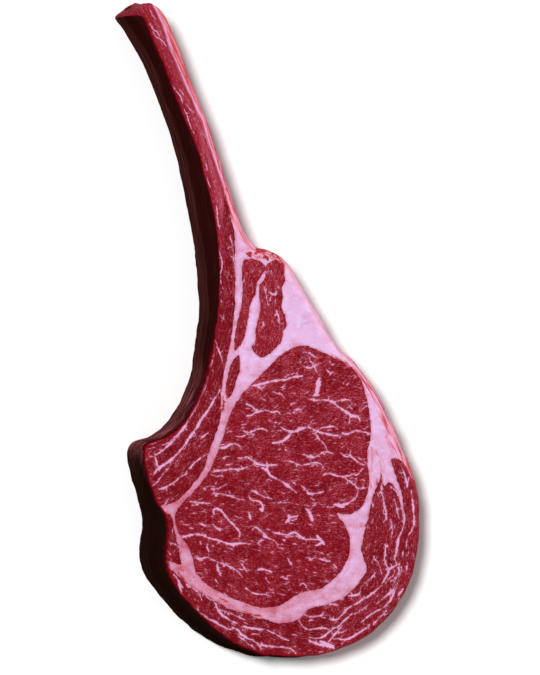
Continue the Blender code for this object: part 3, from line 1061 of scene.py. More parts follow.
# Values round the outline, by corner number of STEAK.
AROUND: dict[str, Stops] = {
    # where the painted shade of the side lies
    "painted_shade": (
        (0.0, 1.0), (17.8, 1.0), (18.8, 0.9), (19.6, 0.6), (20.6, 0.2), (21.4, 0.0), (42.3, 0.0),
        (43.0, 1.0), (44.0, 1.0),
    ),
    # how strong that painted shade is at the rim
    "painted_shade_level": (
        (0.0, 0.1), (0.15, 0.6), (0.4, 1.5), (1.0, 1.75), (1.5, 1.32), (2.0, 0.92), (2.5, 0.67),
        (3.0, 0.63), (3.5, 0.77), (4.0, 1.35), (4.25, 2.0), (4.6, 2.1), (5.0, 2.7), (5.3, 3.1),
        (5.6, 2.75), (6.0, 2.64), (6.3, 2.07), (6.6, 1.36), (6.9, 0.71), (7.4, 0.6), (7.8, 0.32),
        (8.5, 0.3), (9.0, 0.34), (10.0, 0.36), (10.6, 0.34), (11.3, 0.34), (11.8, 0.36),
        (12.7, 0.3), (13.1, 0.6), (13.7, 1.6), (14.2, 1.45), (15.2, 1.48), (15.8, 1.4), (16.8, 1.5),
        (17.3, 1.8), (17.8, 1.6), (18.4, 1.33), (19.0, 1.0), (20.0, 1.0), (42.4, 0.0), (43.2, 0.06),
        (44.0, 0.1),
    ),
    # how far it comes onto the face, in millimetres
    "painted_shade_reach": (
        (0.0, 6.0), (0.4, 6.6), (1.0, 5.6), (1.5, 3.7), (2.0, 2.4), (2.5, 1.6), (3.0, 1.5),
        (3.5, 1.7), (4.0, 2.7), (4.25, 3.6), (4.6, 3.8), (5.0, 4.9), (5.3, 5.0), (5.6, 4.4),
        (6.0, 3.7), (6.3, 2.9), (6.6, 1.9), (6.9, 1.0), (8.5, 1.0), (12.7, 1.0), (13.1, 1.6),
        (13.7, 4.8), (14.2, 6.8), (14.7, 8.2), (15.2, 8.2), (15.8, 7.0), (16.3, 5.2), (16.8, 4.0),
        (17.3, 4.9), (17.8, 4.3), (18.4, 3.2), (19.0, 2.4), (20.0, 1.6), (43.0, 3.0), (44.0, 6.0),
    ),
    # raw patches in the painted shade of the side
    "blush": (
        (7.6, 0.0), (8.4, 0.35), (9.4, 0.7), (10.2, 1.0), (11.3, 1.0), (11.7, 0.5), (12.2, 0.1),
        (12.6, 0.0),
    ),
    # the outer side of fat and meat
    "outer": (
        (0.0, 0.0), (19.4, 0.0), (20.6, 1.0), (41.0, 1.0), (42.2, 0.3), (43.0, 0.0), (44, 0),
    ),
    # how far the orange rim comes onto the face, in millimetres
    "salmon": (
        (0, -3), (19.4, -3), (20.5, 1.2), (23, 1.8), (25.6, 2.2), (26.2, 4.4), (27.2, 6.4),
        (28.2, 5.4), (28.9, 4.2), (29.6, 3.6), (31, 3.8), (33, 4.0), (33.8, 5.0), (35, 4.6),
        (36.6, 4.4), (41.0, 4.2), (42.0, 1.5), (43.0, -1.0), (44, -3),
    ),
    # where that rim is paler
    "peach": (
        (26.4, 0.0), (27.2, 0.3), (27.9, 0.1), (28.6, 0.1), (29.1, 0.6), (29.6, 0.8), (30.4, 1.0),
        (32.8, 1.0), (33.5, 0.3), (34.8, 0.3), (35.6, 0.4), (36.8, 0.0),
    ),
    # where one skin covers fat and meat alike
    "skin": (
        (21.0, 0.0), (24.0, 0.32), (25.4, 0.62), (25.8, 1.0), (27.0, 1.0), (28.2, 0.5), (29.6, 0.0),
        (36.3, 0.0), (37.0, 0.6), (37.3, 1.0), (37.6, 1.0), (38.1, 0.6), (39.0, 0.15), (40.0, 0.0),
    ),
}


def around(name: str, knots: np.ndarray) -> np.ndarray:
    """Read a value of the table AROUND off straight lines between its stops.

    Args:
        name: Which value.
        knots: Corner numbers along the outline.

    Returns:
        One value for each corner number.
    """
    return np.interp(knots, *zip(*AROUND[name]))


@dataclass
class FacePlan:
    """One fine plan mesh of the whole steak, shared by its pieces, and what is known at each point."""

    form: SteakForm
    pieces: Sequence["SteakPiece"]
    fat_lines: Marbling
    meat_lines: Marbling
    outline_step: float = 0.8
    seam_step: float = 0.6
    grid_step: float = 0.75
    ring_turns: tuple[float, ...] = (18, 34, 50, 66, 82)   # degrees round the shoulder
    ring_margin: float = 0.85          # the share of its inset that a ring point really needs
    clear_seam: float = 0.42           # how near free points may come to the drawn lines
    clear_ring: float = 0.3            # the same for the rings at the outline, rising inwards
    clear_ring_rise: float = 0.1
    mark_cell: float = 0.3             # points on the marbling share no cell of this size
    mark_margin: float = 0.4           # how far they stay from the outline
    mark_gap: float = 0.36             # and from the seams and the rings
    grid_margin: float = 0.5
    grid_jitter: float = 0.11
    grid_seed: int = 21
    merge_gap: float = 1e-5
    least_turn: float = 1e-7           # triangles of less than half this area are left out
    line_fading: float = 6.0           # how fast the thin lines end down the side
    stop_sway: Bumps = Bumps(COARSE, 0.5, (25.0, 1 / 2.6), (0.0, 60.0))   # in corner numbers
    sway_rise: Span = (0.0, 0.3)       # how far down the side the stops begin to sway
    sway_clear: Span = (0.2, 1.5)      # how many corners from the first one they begin to
    seam_reach: float = 6.0            # further away than this makes no difference
    blush_reach: float = 5.0           # how far raw patches come onto the face
    crest_from: float = 52.0           # the handle has its crest line above this y
    crest_reach: float = 9.0           # further away than this makes no difference
    crest_side: float = -3.0           # the crest ends down the side from here outwards
    points: np.ndarray = field(init=False)
    triangles: np.ndarray = field(init=False)
    owner: np.ndarray = field(init=False)
    fields: dict[str, np.ndarray] = field(init=False, default_factory=dict)
    outline: Track = field(init=False)
    hit: Hit = field(init=False)             # the outline's nearest place to each plan point
    radius: np.ndarray = field(init=False)   # of the top edge, all along the outline
    normal: np.ndarray = field(init=False)   # outwards at the outline, for each plan point
    top: np.ndarray = field(init=False)
    under: np.ndarray = field(init=False)

    def __post_init__(self) -> None:
        """Lay the points out, join them up and measure them."""
        self.outline = self.form.uneven(Track.through(STEAK, self.outline_step))
        self.radius = self.form.edge_radius(self.outline)
        loops, loose = self.lay_points()
        self.triangulate(loops, loose)
        self.measure()

    def lay_points(self) -> tuple[list[np.ndarray], np.ndarray]:
        """Choose the plan points.

        Returns:
            The closed loops that must show as edges, and the loose points between them.
        """
        seams = [self.form.ragged(Track.through(piece.corners, self.seam_step))
                 for piece in self.pieces if piece.corners]
        drawn = np.concatenate([self.outline.points] + seams)
        normals = self.outline.normals()
        rings = []
        for turn in self.ring_turns:
            inset = self.radius * (1 - math.cos(math.radians(turn)))
            ring = self.outline.points - normals * inset[:, None]
            hit = self.outline.nearest(ring)
            inside = (hit.side > 0) & (hit.distance > self.ring_margin * inset)
            ring, inset = ring[inside], inset[inside]
            clear = np.minimum(self.clear_seam, self.clear_ring + inset * self.clear_ring_rise)
            rings.append(ring[Nearby(seams).distance(ring) > clear])
        marks = np.concatenate(self.fat_lines.anchors + self.meat_lines.anchors)
        cells = np.round(marks / self.mark_cell).astype(int)
        marks = marks[np.unique(cells, axis=0, return_index=True)[1]]
        marks = self.inside(marks, self.mark_margin)
        marks = marks[Nearby([drawn] + rings).distance(marks) > self.mark_gap]
        low, high = self.outline.points.min(axis=0), self.outline.points.max(axis=0)
        row = self.grid_step * math.sqrt(3) / 2
        columns, lines = np.meshgrid(np.arange(low[0], high[0], self.grid_step),
                                     np.arange(low[1], high[1], row))
        columns[1::2] += self.grid_step / 2
        grid = np.stack((columns.ravel(), lines.ravel()), axis=1)
        source = np.random.default_rng(self.grid_seed)
        grid = grid + source.uniform(-self.grid_jitter, self.grid_jitter, grid.shape)
        grid = self.inside(grid, self.grid_margin)
        grid = grid[Nearby([drawn, marks] + rings).distance(grid) > self.clear_seam]
        return [self.outline.points] + seams, np.concatenate(rings + [marks, grid])

    def inside(self, places: np.ndarray, margin: float) -> np.ndarray:
        """Keep the places that lie inside the outline by a margin."""
        hit = self.outline.nearest(places)
        return places[(hit.side > 0) & (hit.distance > margin)]

    def triangulate(self, loops: list[np.ndarray], loose: np.ndarray) -> None:
        """Join the points and share the triangles out.

        Args:
            loops: The outline, then one loop for each piece that has one.
            loose: Points between the loops.
        """
        faces, first = [], 0
        for loop in loops:
            faces.append(list(range(first, first + len(loop))))
            first += len(loop)
        places = [Vector((x, y)) for x, y in np.concatenate(loops + [loose])]
        made = geometry.delaunay_2d_cdt(places, [], faces, INSIDE_ONLY, self.merge_gap, True)
        points = np.array([tuple(point) for point in made[0]])
        kept, owner = [], []
        for corners, sources in zip(made[2], made[5]):
            if 0 not in sources:
                continue
            named = [index for index in range(1, len(loops)) if index in sources]
            kept.append(corners)
            owner.append(named[0] if named else 0)
        triangles = np.array(kept)
        a, b, c = (points[triangles[:, corner]] for corner in range(3))
        turn = (b[:, 0] - a[:, 0]) * (c[:, 1] - a[:, 1]) - (b[:, 1] - a[:, 1]) * (c[:, 0] - a[:, 0])
        triangles[turn < 0] = triangles[turn < 0][:, ::-1]
        solid = np.abs(turn) > self.least_turn
        used, triangles = np.unique(triangles[solid], return_inverse=True)
        self.points = points[used]
        self.triangles = triangles.reshape(-1, 3)
        self.owner = np.array(owner)[solid]
        LOG.info("plan: %d points, %d triangles", len(self.points), len(self.triangles))

    def measure(self) -> None:
        """Work out heights and fields at every plan point."""
        places = self.points
        hit = self.hit = self.outline.nearest(places)
        rim = np.where(self.edge_points(), 0.0, hit.distance)
        reach = np.append(self.outline.arcs, self.outline.arcs[-1] + self.outline_step)
        radius = np.interp(hit.arc, reach, np.append(self.radius, self.radius[0]))
        self.normal = np.stack([
            np.interp(hit.arc, reach, np.append(side, side[0])) for side in self.outline.normals().T
        ], axis=1)
        self.normal /= np.linalg.norm(self.normal, axis=1, keepdims=True)
        seam = self.seam_distance()
        lengthwise = RIB_GRAIN.lines(places)
        outer = Track.through(FAT_SIDE, step=1.0, closed=False).nearest(places).distance
        share = np.clip(lengthwise[:, 1] / (lengthwise[:, 1] + outer), 0.0, 1.0)
        self.top = self.form.top(places, rim, radius) + self.form.relief(places, seam, lengthwise)
        self.under = self.form.under(rim)
        fade = np.clip(1 - rim / around("painted_shade_reach", hit.knot), 0.0, 1.0)
        ridge = Track.through(PHOTO.on_face(CREST_LINE), step=0.5, closed=False).nearest(places)
        crest = np.clip(ridge.distance * ridge.side, -self.crest_reach, self.crest_reach)
        turned = 1 - np.minimum(rim, radius) / radius
        self.fields = {
            # painted light: the outer shoulder and side, turned from the key light, are brightened in
            # colour
            "painted_light_lift": around("outer", hit.knot) * turned**1.5,
            "vein": self.fat_lines.distance(places),
            "stain": self.meat_lines.distance(places),
            "seam": np.minimum(seam, self.seam_reach),
            # painted shade of the rib side
            "painted_shade": around("painted_shade", hit.knot) * around("painted_shade_level", hit.knot) * fade,
            "blush": around("blush", hit.knot) * (1 - ease(rim, 0.0, self.blush_reach)),
            "salmon": around("salmon", hit.knot) - rim,
            "peach": around("peach", hit.knot),
            "skin": around("skin", hit.knot),
            "crest": np.where(places[:, 1] > self.crest_from, crest, -self.crest_reach),
            "share": share,
            "pale": self.paleness(places),
        }

    def down_side(self, name: str, rim: np.ndarray, levels: np.ndarray) -> np.ndarray:
        """Carry a field down the side.

        Args:
            name: The field.
            rim: The plan points on the outline.
            levels: Heights as shares of the side's height.

        Returns:
            One row of values for each rim point.
        """
        values = in_rows(self.fields[name][rim], levels)
        drop = np.broadcast_to(1 - levels, values.shape)
        if name in ("vein", "stain"):
            return values + self.line_fading * drop
        if name == "crest":
            return values + self.line_fading * drop * (values > self.crest_side)
        if name not in AROUND:
            return values
        knot, arc = in_rows(self.hit.knot[rim], levels), in_rows(self.hit.arc[rim], levels)
        calm = ease(np.minimum(knot, len(STEAK) - knot), *self.sway_clear)
        sway = self.stop_sway.at(arc, drop) * ease(drop, *self.sway_rise) * calm
        return values + around(name, np.mod(knot + sway, len(STEAK))) - around(name, knot)

    def paleness(self, places: np.ndarray) -> np.ndarray:
        """How pale the tissue is, from 0 to 1: palest in the fatty corner, darkest low on the rib side."""
        x, y = places.T
        corner = 0.42 * ease(y, -60, 5) * ease(x, -34, -14)
        outer = 0.36 * ease(x, 5, 60) * ease(-y, 10, 60)
        upper = 0.2 * ease(y, -105, -25)
        low_left = 0.08 * ease(-x, 5, 60) * ease(-y, 20, 130)
        return np.clip(0.42 + corner + outer + upper - low_left, 0.0, 1.0)

    def edge_points(self) -> np.ndarray:
        """Tell which plan points lie on the outline."""
        on_edge = np.zeros(len(self.points), dtype=bool)
        on_edge[np.unique(free_edges(self.triangles))] = True
        return on_edge

    def seam_distance(self) -> np.ndarray:
        """Distance of every plan point from the nearest seam between two pieces."""
        edges = [free_edges(self.triangles[self.owner == owner]) for owner in np.unique(self.owner)]
        pairs = np.concatenate(edges)
        outer = self.edge_points()
        pairs = pairs[~(outer[pairs[:, 0]] & outer[pairs[:, 1]])]
        start, end = self.points[pairs[:, 0]], self.points[pairs[:, 1]]
        samples = [start + (end - start) * share for share in (0.0, 0.25, 0.5, 0.75)]
        return Nearby(samples).distance(self.points)


# ------------------------------------------------------------------ the pieces
@dataclass
class SteakPiece:
    """One muscle, the bone or the fat, as a closed mesh through the whole thickness."""

    node: str
    tissue: Tissue
    grain: Grain
    finish: "Finish"
    corners: Optional[Corners] = None
    fleck_density: float = 0.0         # short fat flecks on a square centimetre
    far_side: float = math.inf         # past this, across the fibres, the side faces the other way
    side_depth: float = 40.0           # what the side measures in the fibres' coordinates
    sharp_angle: float = math.radians(55.0)

    def build(self, plan: FacePlan, number: int, centre: np.ndarray) -> bpy.types.Object:
        """Build the piece's mesh from the shared plan.

        Args:
            plan: The plan mesh of the whole steak.
            number: The piece's number in the plan, which is 0 for what the others leave over.
            centre: What the solids' origin is on the outlines' axes.

        Returns:
            The finished object, in the scene.
        """
        triangles = plan.triangles[plan.owner == number]
        used, local = np.unique(triangles, return_inverse=True)
        local = local.reshape(-1, 3)
        size = len(used)
        top = np.column_stack((plan.points[used], plan.top[used]))
        under = np.column_stack((plan.points[used], plan.under[used]))
        edges = free_edges(local)
        outer = self.outline_edges(plan, used, edges)
        rim = np.unique(edges[outer])
        slot = np.full(size, -1)
        slot[rim] = np.arange(len(rim))
        rows = plan.form.rows
        levels = np.arange(1, rows) / rows
        steps = self.columns(plan, used[rim], levels)
        spots = np.concatenate((top, under, steps.reshape(-1, 3)))
        spots[:, :2] -= centre
        faces = local.tolist() + (local[:, ::-1] + size).tolist()
        faces += self.side_faces(edges, outer, slot, size, rows)
        mesh = bpy.data.meshes.new(self.node + "_flesh")
        mesh.from_pydata((spots * MM).tolist(), [], faces)
        mesh.shade_smooth()
        mesh.set_sharp_from_angle(angle=self.sharp_angle)
        drop = (np.zeros(size), np.ones(size), np.tile(1 - levels, len(rim)))
        self.note(mesh, "drop", np.concatenate(drop))
        self.note(mesh, "grain", self.fibre_places(plan.points[used], rim, levels))
        for name, values in plan.fields.items():
            down = plan.down_side(name, used[rim], levels)
            self.note(mesh, name, np.concatenate((values[used], values[used], down.ravel())))
        piece = bpy.data.objects.new(self.node + "_flesh", mesh)
        bpy.context.scene.collection.objects.link(piece)
        mesh.materials.append(self.finish.material())
        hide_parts(self.node)
        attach(piece, "root")
        LOG.info("%s: %d points, %d faces", piece.name, len(spots), len(faces))
        return piece

    def fibre_places(self, places: np.ndarray, rim: np.ndarray, levels: np.ndarray) -> np.ndarray:
        """Measure along and across the fibres, on down the side and under the piece.

        Args:
            places: The upper points in plan.
            rim: Which of them are on the steak's outline.
            levels: Heights of the side's points as shares of its height.

        Returns:
            A row for each upper, each lower and each side point.
        """
        grain = self.grain.lines(places)
        outward = np.where(grain[:, 1] > self.far_side, 1.0, -1.0)
        blank = np.zeros(len(places))
        top = np.column_stack((grain, blank))
        under = np.column_stack((grain[:, 0], grain[:, 1] + outward * self.side_depth, blank))
        depth = (1 - levels)[None, :] * self.side_depth
        across = grain[rim, 1:] + outward[rim, None] * depth
        side = np.stack((in_rows(grain[rim, 0], levels), across, np.zeros(across.shape)), axis=2)
        return np.concatenate((top, under, side.reshape(-1, 3)))

    @staticmethod
    def note(mesh: bpy.types.Mesh, name: str, values: np.ndarray) -> None:
        """Keep one number or one vector for every point of a mesh, for its finish."""
        flat = values.ndim == 1
        layer = mesh.attributes.new(name, "FLOAT" if flat else "FLOAT_VECTOR", "POINT")
        layer.data.foreach_set("value" if flat else "vector", values.astype(np.float32).ravel())

    @staticmethod
    def outline_edges(plan: FacePlan, used: np.ndarray, edges: np.ndarray) -> np.ndarray:
        """Tell which of a piece's free edges lie on the steak's outline."""
        whole = free_edges(plan.triangles)
        size = len(plan.points)
        codes = whole[:, 0] * size + whole[:, 1]
        return np.isin(used[edges[:, 0]] * size + used[edges[:, 1]], codes)

    @staticmethod
    def columns(plan: FacePlan, rim: np.ndarray, levels: np.ndarray) -> np.ndarray:
        """Place the points up the side.

        Args:
            plan: The plan mesh of the whole steak.
            rim: The plan points on the outline.
            levels: Heights as shares of the side's height.

        Returns:
            One row of places for each rim point.
        """
        base, top = plan.under[rim][:, None], plan.top[rim][:, None]
        height = base + (top - base) * levels
        arc, knot = in_rows(plan.hit.arc[rim], levels), in_rows(plan.hit.knot[rim], levels)
        out = plan.form.side(arc, np.broadcast_to(levels, arc.shape), knot)
        flat = plan.points[rim][:, None, :] + plan.normal[rim][:, None, :] * out[:, :, None]
        return np.concatenate((flat, height[:, :, None]), axis=2)

    @staticmethod
    def side_faces(edges: np.ndarray, outer: np.ndarray, slot: np.ndarray, size: int,
                   rows: int) -> list[list[int]]:
        """Close the piece between its upper and lower surface.

        Args:
            edges: The free edges, with the piece on their left.
            outer: Whether each edge is on the steak's outline.
            slot: Column number of each upper point, or -1.
            size: How many upper points there are.
            rows: Rows of faces up the side.

        Returns:
            The faces.
        """
        def column(point: int) -> list[int]:
            """Point numbers up the side, from the lower surface to the upper one."""
            if slot[point] < 0:
                return [size + point, point]
            first = 2 * size + slot[point] * (rows - 1)
            return [size + point, *range(first, first + rows - 1), point]

        faces = []
        for (start, end), on_outline in zip(edges.tolist(), outer.tolist()):
            left, right = column(start), column(end)
            if on_outline:
                for low, high in zip(range(rows), range(1, rows + 1)):
                    faces.append([left[low], right[low], right[high], left[high]])
            else:
                faces.append(right + left[::-1])
        return faces


# ------------------------------------------------------------------ shader sums in Python
Feed = Union[float, Sequence[float], "Tap"]


@dataclass(frozen=True)
class Tap:
    """What one socket of a shader node gives, ready for sums."""

    graph: "Graph"
    socket: bpy.types.NodeSocket

    def maths(self, operation: str, *terms: Feed) -> "Tap":
        """Add one Math node on the terms."""
        return self.graph.node("Math", {"operation": operation}, dict(enumerate(terms)))

    def __add__(self, other: Feed) -> "Tap":
        """This plus a value."""
        return self.maths("ADD", self, other)

    def __radd__(self, other: Feed) -> "Tap":
        """A value plus this."""
        return self.maths("ADD", other, self)

    def __sub__(self, other: Feed) -> "Tap":
        """This less a value."""
        return self.maths("SUBTRACT", self, other)

    def __rsub__(self, other: Feed) -> "Tap":
        """A value less this."""
        return self.maths("SUBTRACT", other, self)

    def __mul__(self, other: Feed) -> "Tap":
        """This times a value."""
        return self.maths("MULTIPLY", self, other)

    def __rmul__(self, other: Feed) -> "Tap":
        """A value times this."""
        return self.maths("MULTIPLY", other, self)

    def __abs__(self) -> "Tap":
        """This without its sign."""
        return self.maths("ABSOLUTE", self)

    def rise(self, low: float, high: float) -> "Tap":
        """Rise smoothly from 0 at low to 1 at high, or fall where low is the larger."""
        return self.graph.node("MapRange", {"interpolation_type": "SMOOTHSTEP"},
                               {0: self, 1: low, 2: high, 3: 0.0, 4: 1.0})


@dataclass
class Graph:
    """The nodes of one material."""

    name: str
    material: bpy.types.Material = field(init=False)

    def __post_init__(self) -> None:
        """Start an empty material."""
        self.material = bpy.data.materials.new(self.name)
        self.material.use_nodes = True
        self.material.node_tree.nodes.clear()

    def node(self, kind: str, settings: Optional[Mapping[str, Any]] = None,
             feeds: Optional[Mapping[Union[int, str], Feed]] = None,
             out: Union[int, str] = 0) -> Tap:
        """Add any node.

        Args:
            kind: The node's type, without its "ShaderNode".
            settings: What is set on the node first; stops fill a colour ramp.
            feeds: Values or links, by socket number or name.
            out: The socket that is handed back.

        Returns:
            The node's chosen output, or its first input where it has no output.
        """
        made = self.material.node_tree.nodes.new("ShaderNode" + kind)
        for name, value in (settings or {}).items():
            if name == "stops":
                self.fill_ramp(made.color_ramp, value)
            else:
                setattr(made, name, value)
        for key, value in (feeds or {}).items():
            if isinstance(value, Tap):
                self.material.node_tree.links.new(value.socket, made.inputs[key])
            else:
                made.inputs[key].default_value = value
        return Tap(self, made.outputs[out] if made.outputs else made.inputs[0])

    @staticmethod
    def fill_ramp(ramp: bpy.types.ColorRamp, stops: Sequence[tuple[float, Sequence[float]]]) -> None:
        """Set a colour ramp's stops."""
        while len(ramp.elements) < len(stops):
            ramp.elements.new(1.0)
        for element, (place, colour) in zip(ramp.elements, stops):
            element.position = place
            element.color = colour

    def value(self, name: str) -> Tap:
        """A number kept on the mesh."""
        return self.node("Attribute", {"attribute_name": name}, None, "Fac")

    def vector(self, name: str) -> Tap:
        """A vector kept on the mesh."""
        return self.node("Attribute", {"attribute_name": name}, None, "Vector")

    def place(self) -> Tap:
        """The place on the object, in millimetres."""
        spot = self.node("TexCoord", None, None, "Object")
        return self.node("VectorMath", {"operation": "SCALE"}, {0: spot, "Scale": 1 / MM})

    def noise(self, spot: Tap, size: Sequence[float], detail: float = 2.0, shift: float = 0.0) -> Tap:
        """Soft noise.

        Args:
            spot: Coordinates in millimetres.
            size: Size of its blobs on the three axes, in millimetres.
            detail: How many finer layers it has.
            shift: Moves it, so that two noises of one size differ.

        Returns:
            Values about 0.5.
        """
        cells = self.node("VectorMath", {"operation": "DIVIDE"}, {0: spot, 1: size})
        moved = self.node("VectorMath", {"operation": "ADD"}, {0: cells, 1: (shift, shift, shift)})
        return self.node("TexNoise", None, {"Vector": moved, "Scale": 1.0, "Detail": detail})

    def swing(self, spot: Tap, size: Sequence[float], detail: float = 2.0, shift: float = 0.0) -> Tap:
        """Soft noise like the above, with values about 0."""
        return self.noise(spot, size, detail, shift) - 0.5

    def blend(self, amount: Feed, low: Feed, high: Feed) -> Tap:
        """Mix two colours: low where the amount is 0, high where it is 1."""
        return self.node("Mix", {"data_type": "RGBA"}, {0: amount, 6: low, 7: high}, 2)

    def ramp(self, amount: Tap, *stops: tuple[float, Sequence[float]]) -> Tap:
        """Turn a value into a colour by stops."""
        return self.node("ValToRGB", {"stops": stops}, {0: amount})

    def close(self, colour: Tap, roughness: Feed, height: Tap, depth: float, coat: Feed = 0.0,
              coat_roughness: float = 0.36) -> None:
        """End the material in one shader.

        Args:
            colour: The surface colour.
            roughness: Its roughness.
            height: Fine relief, from 0 to about 1.
            depth: What one unit of relief measures, in millimetres.
            coat: How wet it is.
            coat_roughness: The roughness of the wet film.
        """
        normal = self.node("Bump", None, {"Strength": 1.0, "Distance": depth * MM, "Height": height})
        shader = self.node("BsdfPrincipled", None, {
            "Base Color": colour, "Roughness": roughness, "Normal": normal,
            "Specular IOR Level": 0.0, "Coat Weight": coat, "Coat Roughness": coat_roughness,
        })
        self.node("OutputMaterial", None, {"Surface": shader})


FACE_LIGHT = 1.25   # how much brighter than its own colour the studio shows the cut face
SIDE_LIGHT = 0.9    # the same for the upright side

Colour = tuple[float, ...]


def seen(red: float, green: float, blue: float, light: float = FACE_LIGHT) -> Colour:
    """The surface colour that shows as the given 8-bit sRGB colour in the studio."""
    linear = [((part / 255 + 0.055) / 1.055) ** 2.4 if part > 10 else part / 3294.6
              for part in (red, green, blue)]
    return (*(part / light for part in linear), 1.0)


# ------------------------------------------------------------------ finishes
@dataclass(frozen=True)
class PaintedShadeSide:
    """Painted shade along the rib side: the side drawn near black, as if turned away from the light, with
    brown streaks on the bone.
    """

    turn: Colour = seen(138, 16, 32)                     # painted shade where the face begins to turn over
    deep_red: Colour = seen(98, 6, 15)
    black_red: Colour = seen(56, 8, 9)
    # painted shade: the lower part of the side a little lighter than the upper, as if it caught more light
    upper: Colour = seen(20, 8, 5, SIDE_LIGHT)
    lower: Colour = seen(23, 10, 6, SIDE_LIGHT)
    streak: Colour = seen(34, 17, 12, SIDE_LIGHT)
    raw: Colour = seen(188, 100, 106, SIDE_LIGHT)
    quickness: float = 5.0                               # how soon the painted shade is full down the side

    def over(self, graph: Graph, base: Tap, place: Tap, grain: Tap) -> Tap:
        """Lay the painted shade of the side over a colour.

        Args:
            graph: The material's nodes.
            base: The colour below.
            place: Coordinates on the object.
            grain: Coordinates along and across the fibres.

        Returns:
            The colour with the painted shade over it.
        """
        wobble = graph.swing(place, (2.8, 2.8, 2.8), 3.0, 5.0)
        down = graph.value("drop")
        reached = graph.value("painted_shade").rise(0.0, 0.36)
        torn = wobble * 0.45 + graph.swing(grain, (20, 2, 2), 3.0, 31.0) * 1.6 * down.rise(0.05, 0.3)
        painted_shade = graph.value("painted_shade") + reached * reached * (down * self.quickness + torn)
        drop = down + graph.swing(grain, (26, 5, 5), 2.0, 3.0) * 0.55
        bands = graph.noise(grain, (38, 2.6, 2.6), 3.0, 9.0).rise(0.4, 0.66)
        thin = graph.noise(grain, (13, 0.8, 0.8), 3.0, 2.0).rise(0.48, 0.7)
        # painted shade: near black above, a little lighter and streaked low down
        dark = graph.blend(drop.rise(0.34, 0.5), self.upper, self.lower)
        dark = graph.blend(bands * drop.rise(0.36, 0.6) * 0.85, dark, self.streak)
        dark = graph.blend(thin * 0.22, dark, self.streak)
        raw = graph.value("blush") * (thin * 0.85 + bands * 0.18)
        dark = graph.blend(raw, dark, self.raw)
        # painted shade: the face darkens through deep red to near black as it turns over
        colour = graph.blend(painted_shade.rise(0.0, 0.28) * 0.85, base, self.turn)
        colour = graph.blend(painted_shade.rise(0.2, 0.5), colour, self.deep_red)
        colour = graph.blend(painted_shade.rise(0.42, 0.72), colour, self.black_red)
        return graph.blend(painted_shade.rise(0.6, 0.95), colour, dark)


class Painted(NamedTuple):
    """What a tissue's own nodes give."""

    colour: Tap
    roughness: Tap
    height: Tap   # fine relief, from 0 to about 1


@dataclass(frozen=True)
class Finish:
    """What every tissue's finish has: its wet film, the outer skin, painted light on the outer shoulder and
    side, and the painted shade of the rib side over it.
    """

    name: str
    roughness: float = 0.5
    wetness: float = 0.09
    relief: float = 0.16               # what one unit of fine relief measures, in millimetres
    painted_light_lift: float = 0.34                 # painted light: how much brighter the outer shoulder and side are made, against their shade
    outer_skin: Colour = seen(202, 92, 104)
    outer_skin_pale: Colour = seen(228, 146, 160)
    side: PaintedShadeSide = PaintedShadeSide()

    def material(self) -> bpy.types.Material:
        """The finish as a material, made on first use."""
        found = bpy.data.materials.get(self.name)
        if found:
            return found
        graph = Graph(self.name)
        place, grain = graph.place(), graph.vector("grain")
        painted = self.paint(graph, place, grain)
        colour = self.joined(graph, painted.colour, place)
        # painted light on the outer shoulder and side
        gain = 1 + graph.value("painted_light_lift") * self.painted_light_lift
        colour = graph.node("VectorMath", {"operation": "SCALE"}, {0: colour, "Scale": gain})
        # painted shade of the rib side over everything
        colour = self.side.over(graph, colour, place, grain)
        # no wet film where the painted shade lies
        wet = graph.value("painted_shade").rise(0.25, 0.0) * self.wetness
        graph.close(colour, painted.roughness, painted.height, self.relief, wet)
        return graph.material

    def paint(self, graph: Graph, place: Tap, grain: Tap) -> Painted:
        """Build the tissue's own nodes.

        Args:
            graph: The material's nodes.
            place: Coordinates on the object.
            grain: Coordinates along and across the fibres.

        Returns:
            Its colour, roughness and relief.
        """
        raise NotImplementedError

    def joined(self, graph: Graph, colour: Tap, place: Tap) -> Tap:
        """Run a colour into its neighbour's down the outer side, where one skin covers both.

        Args:
            graph: The material's nodes.
            colour: The tissue's own colour.
            place: Coordinates on the object.

        Returns:
            The colour with the skin over it near the seams.
        """
        near = graph.value("skin") * 1.5 + graph.swing(place, (9, 9, 4), 4.0, 41.0) * 2.2
        shown = near.rise(0.15, 0.85) * graph.value("drop").rise(0.0, 0.06) * graph.value("painted_light_lift")
        streaks = graph.noise(place, (16, 16, 1.3), 3.0, 47.0).rise(0.4, 0.6)
        return graph.blend(shown, colour, graph.blend(streaks, self.outer_skin, self.outer_skin_pale))

    @staticmethod
    def crest_line(graph: Graph, grain: Tap) -> Tap:
        """Millimetres past the crest of the handle, which wavers along the fibres."""
        return graph.value("crest") + graph.swing(grain, (12, 2, 2), 2.0, 5.0) * 1.6


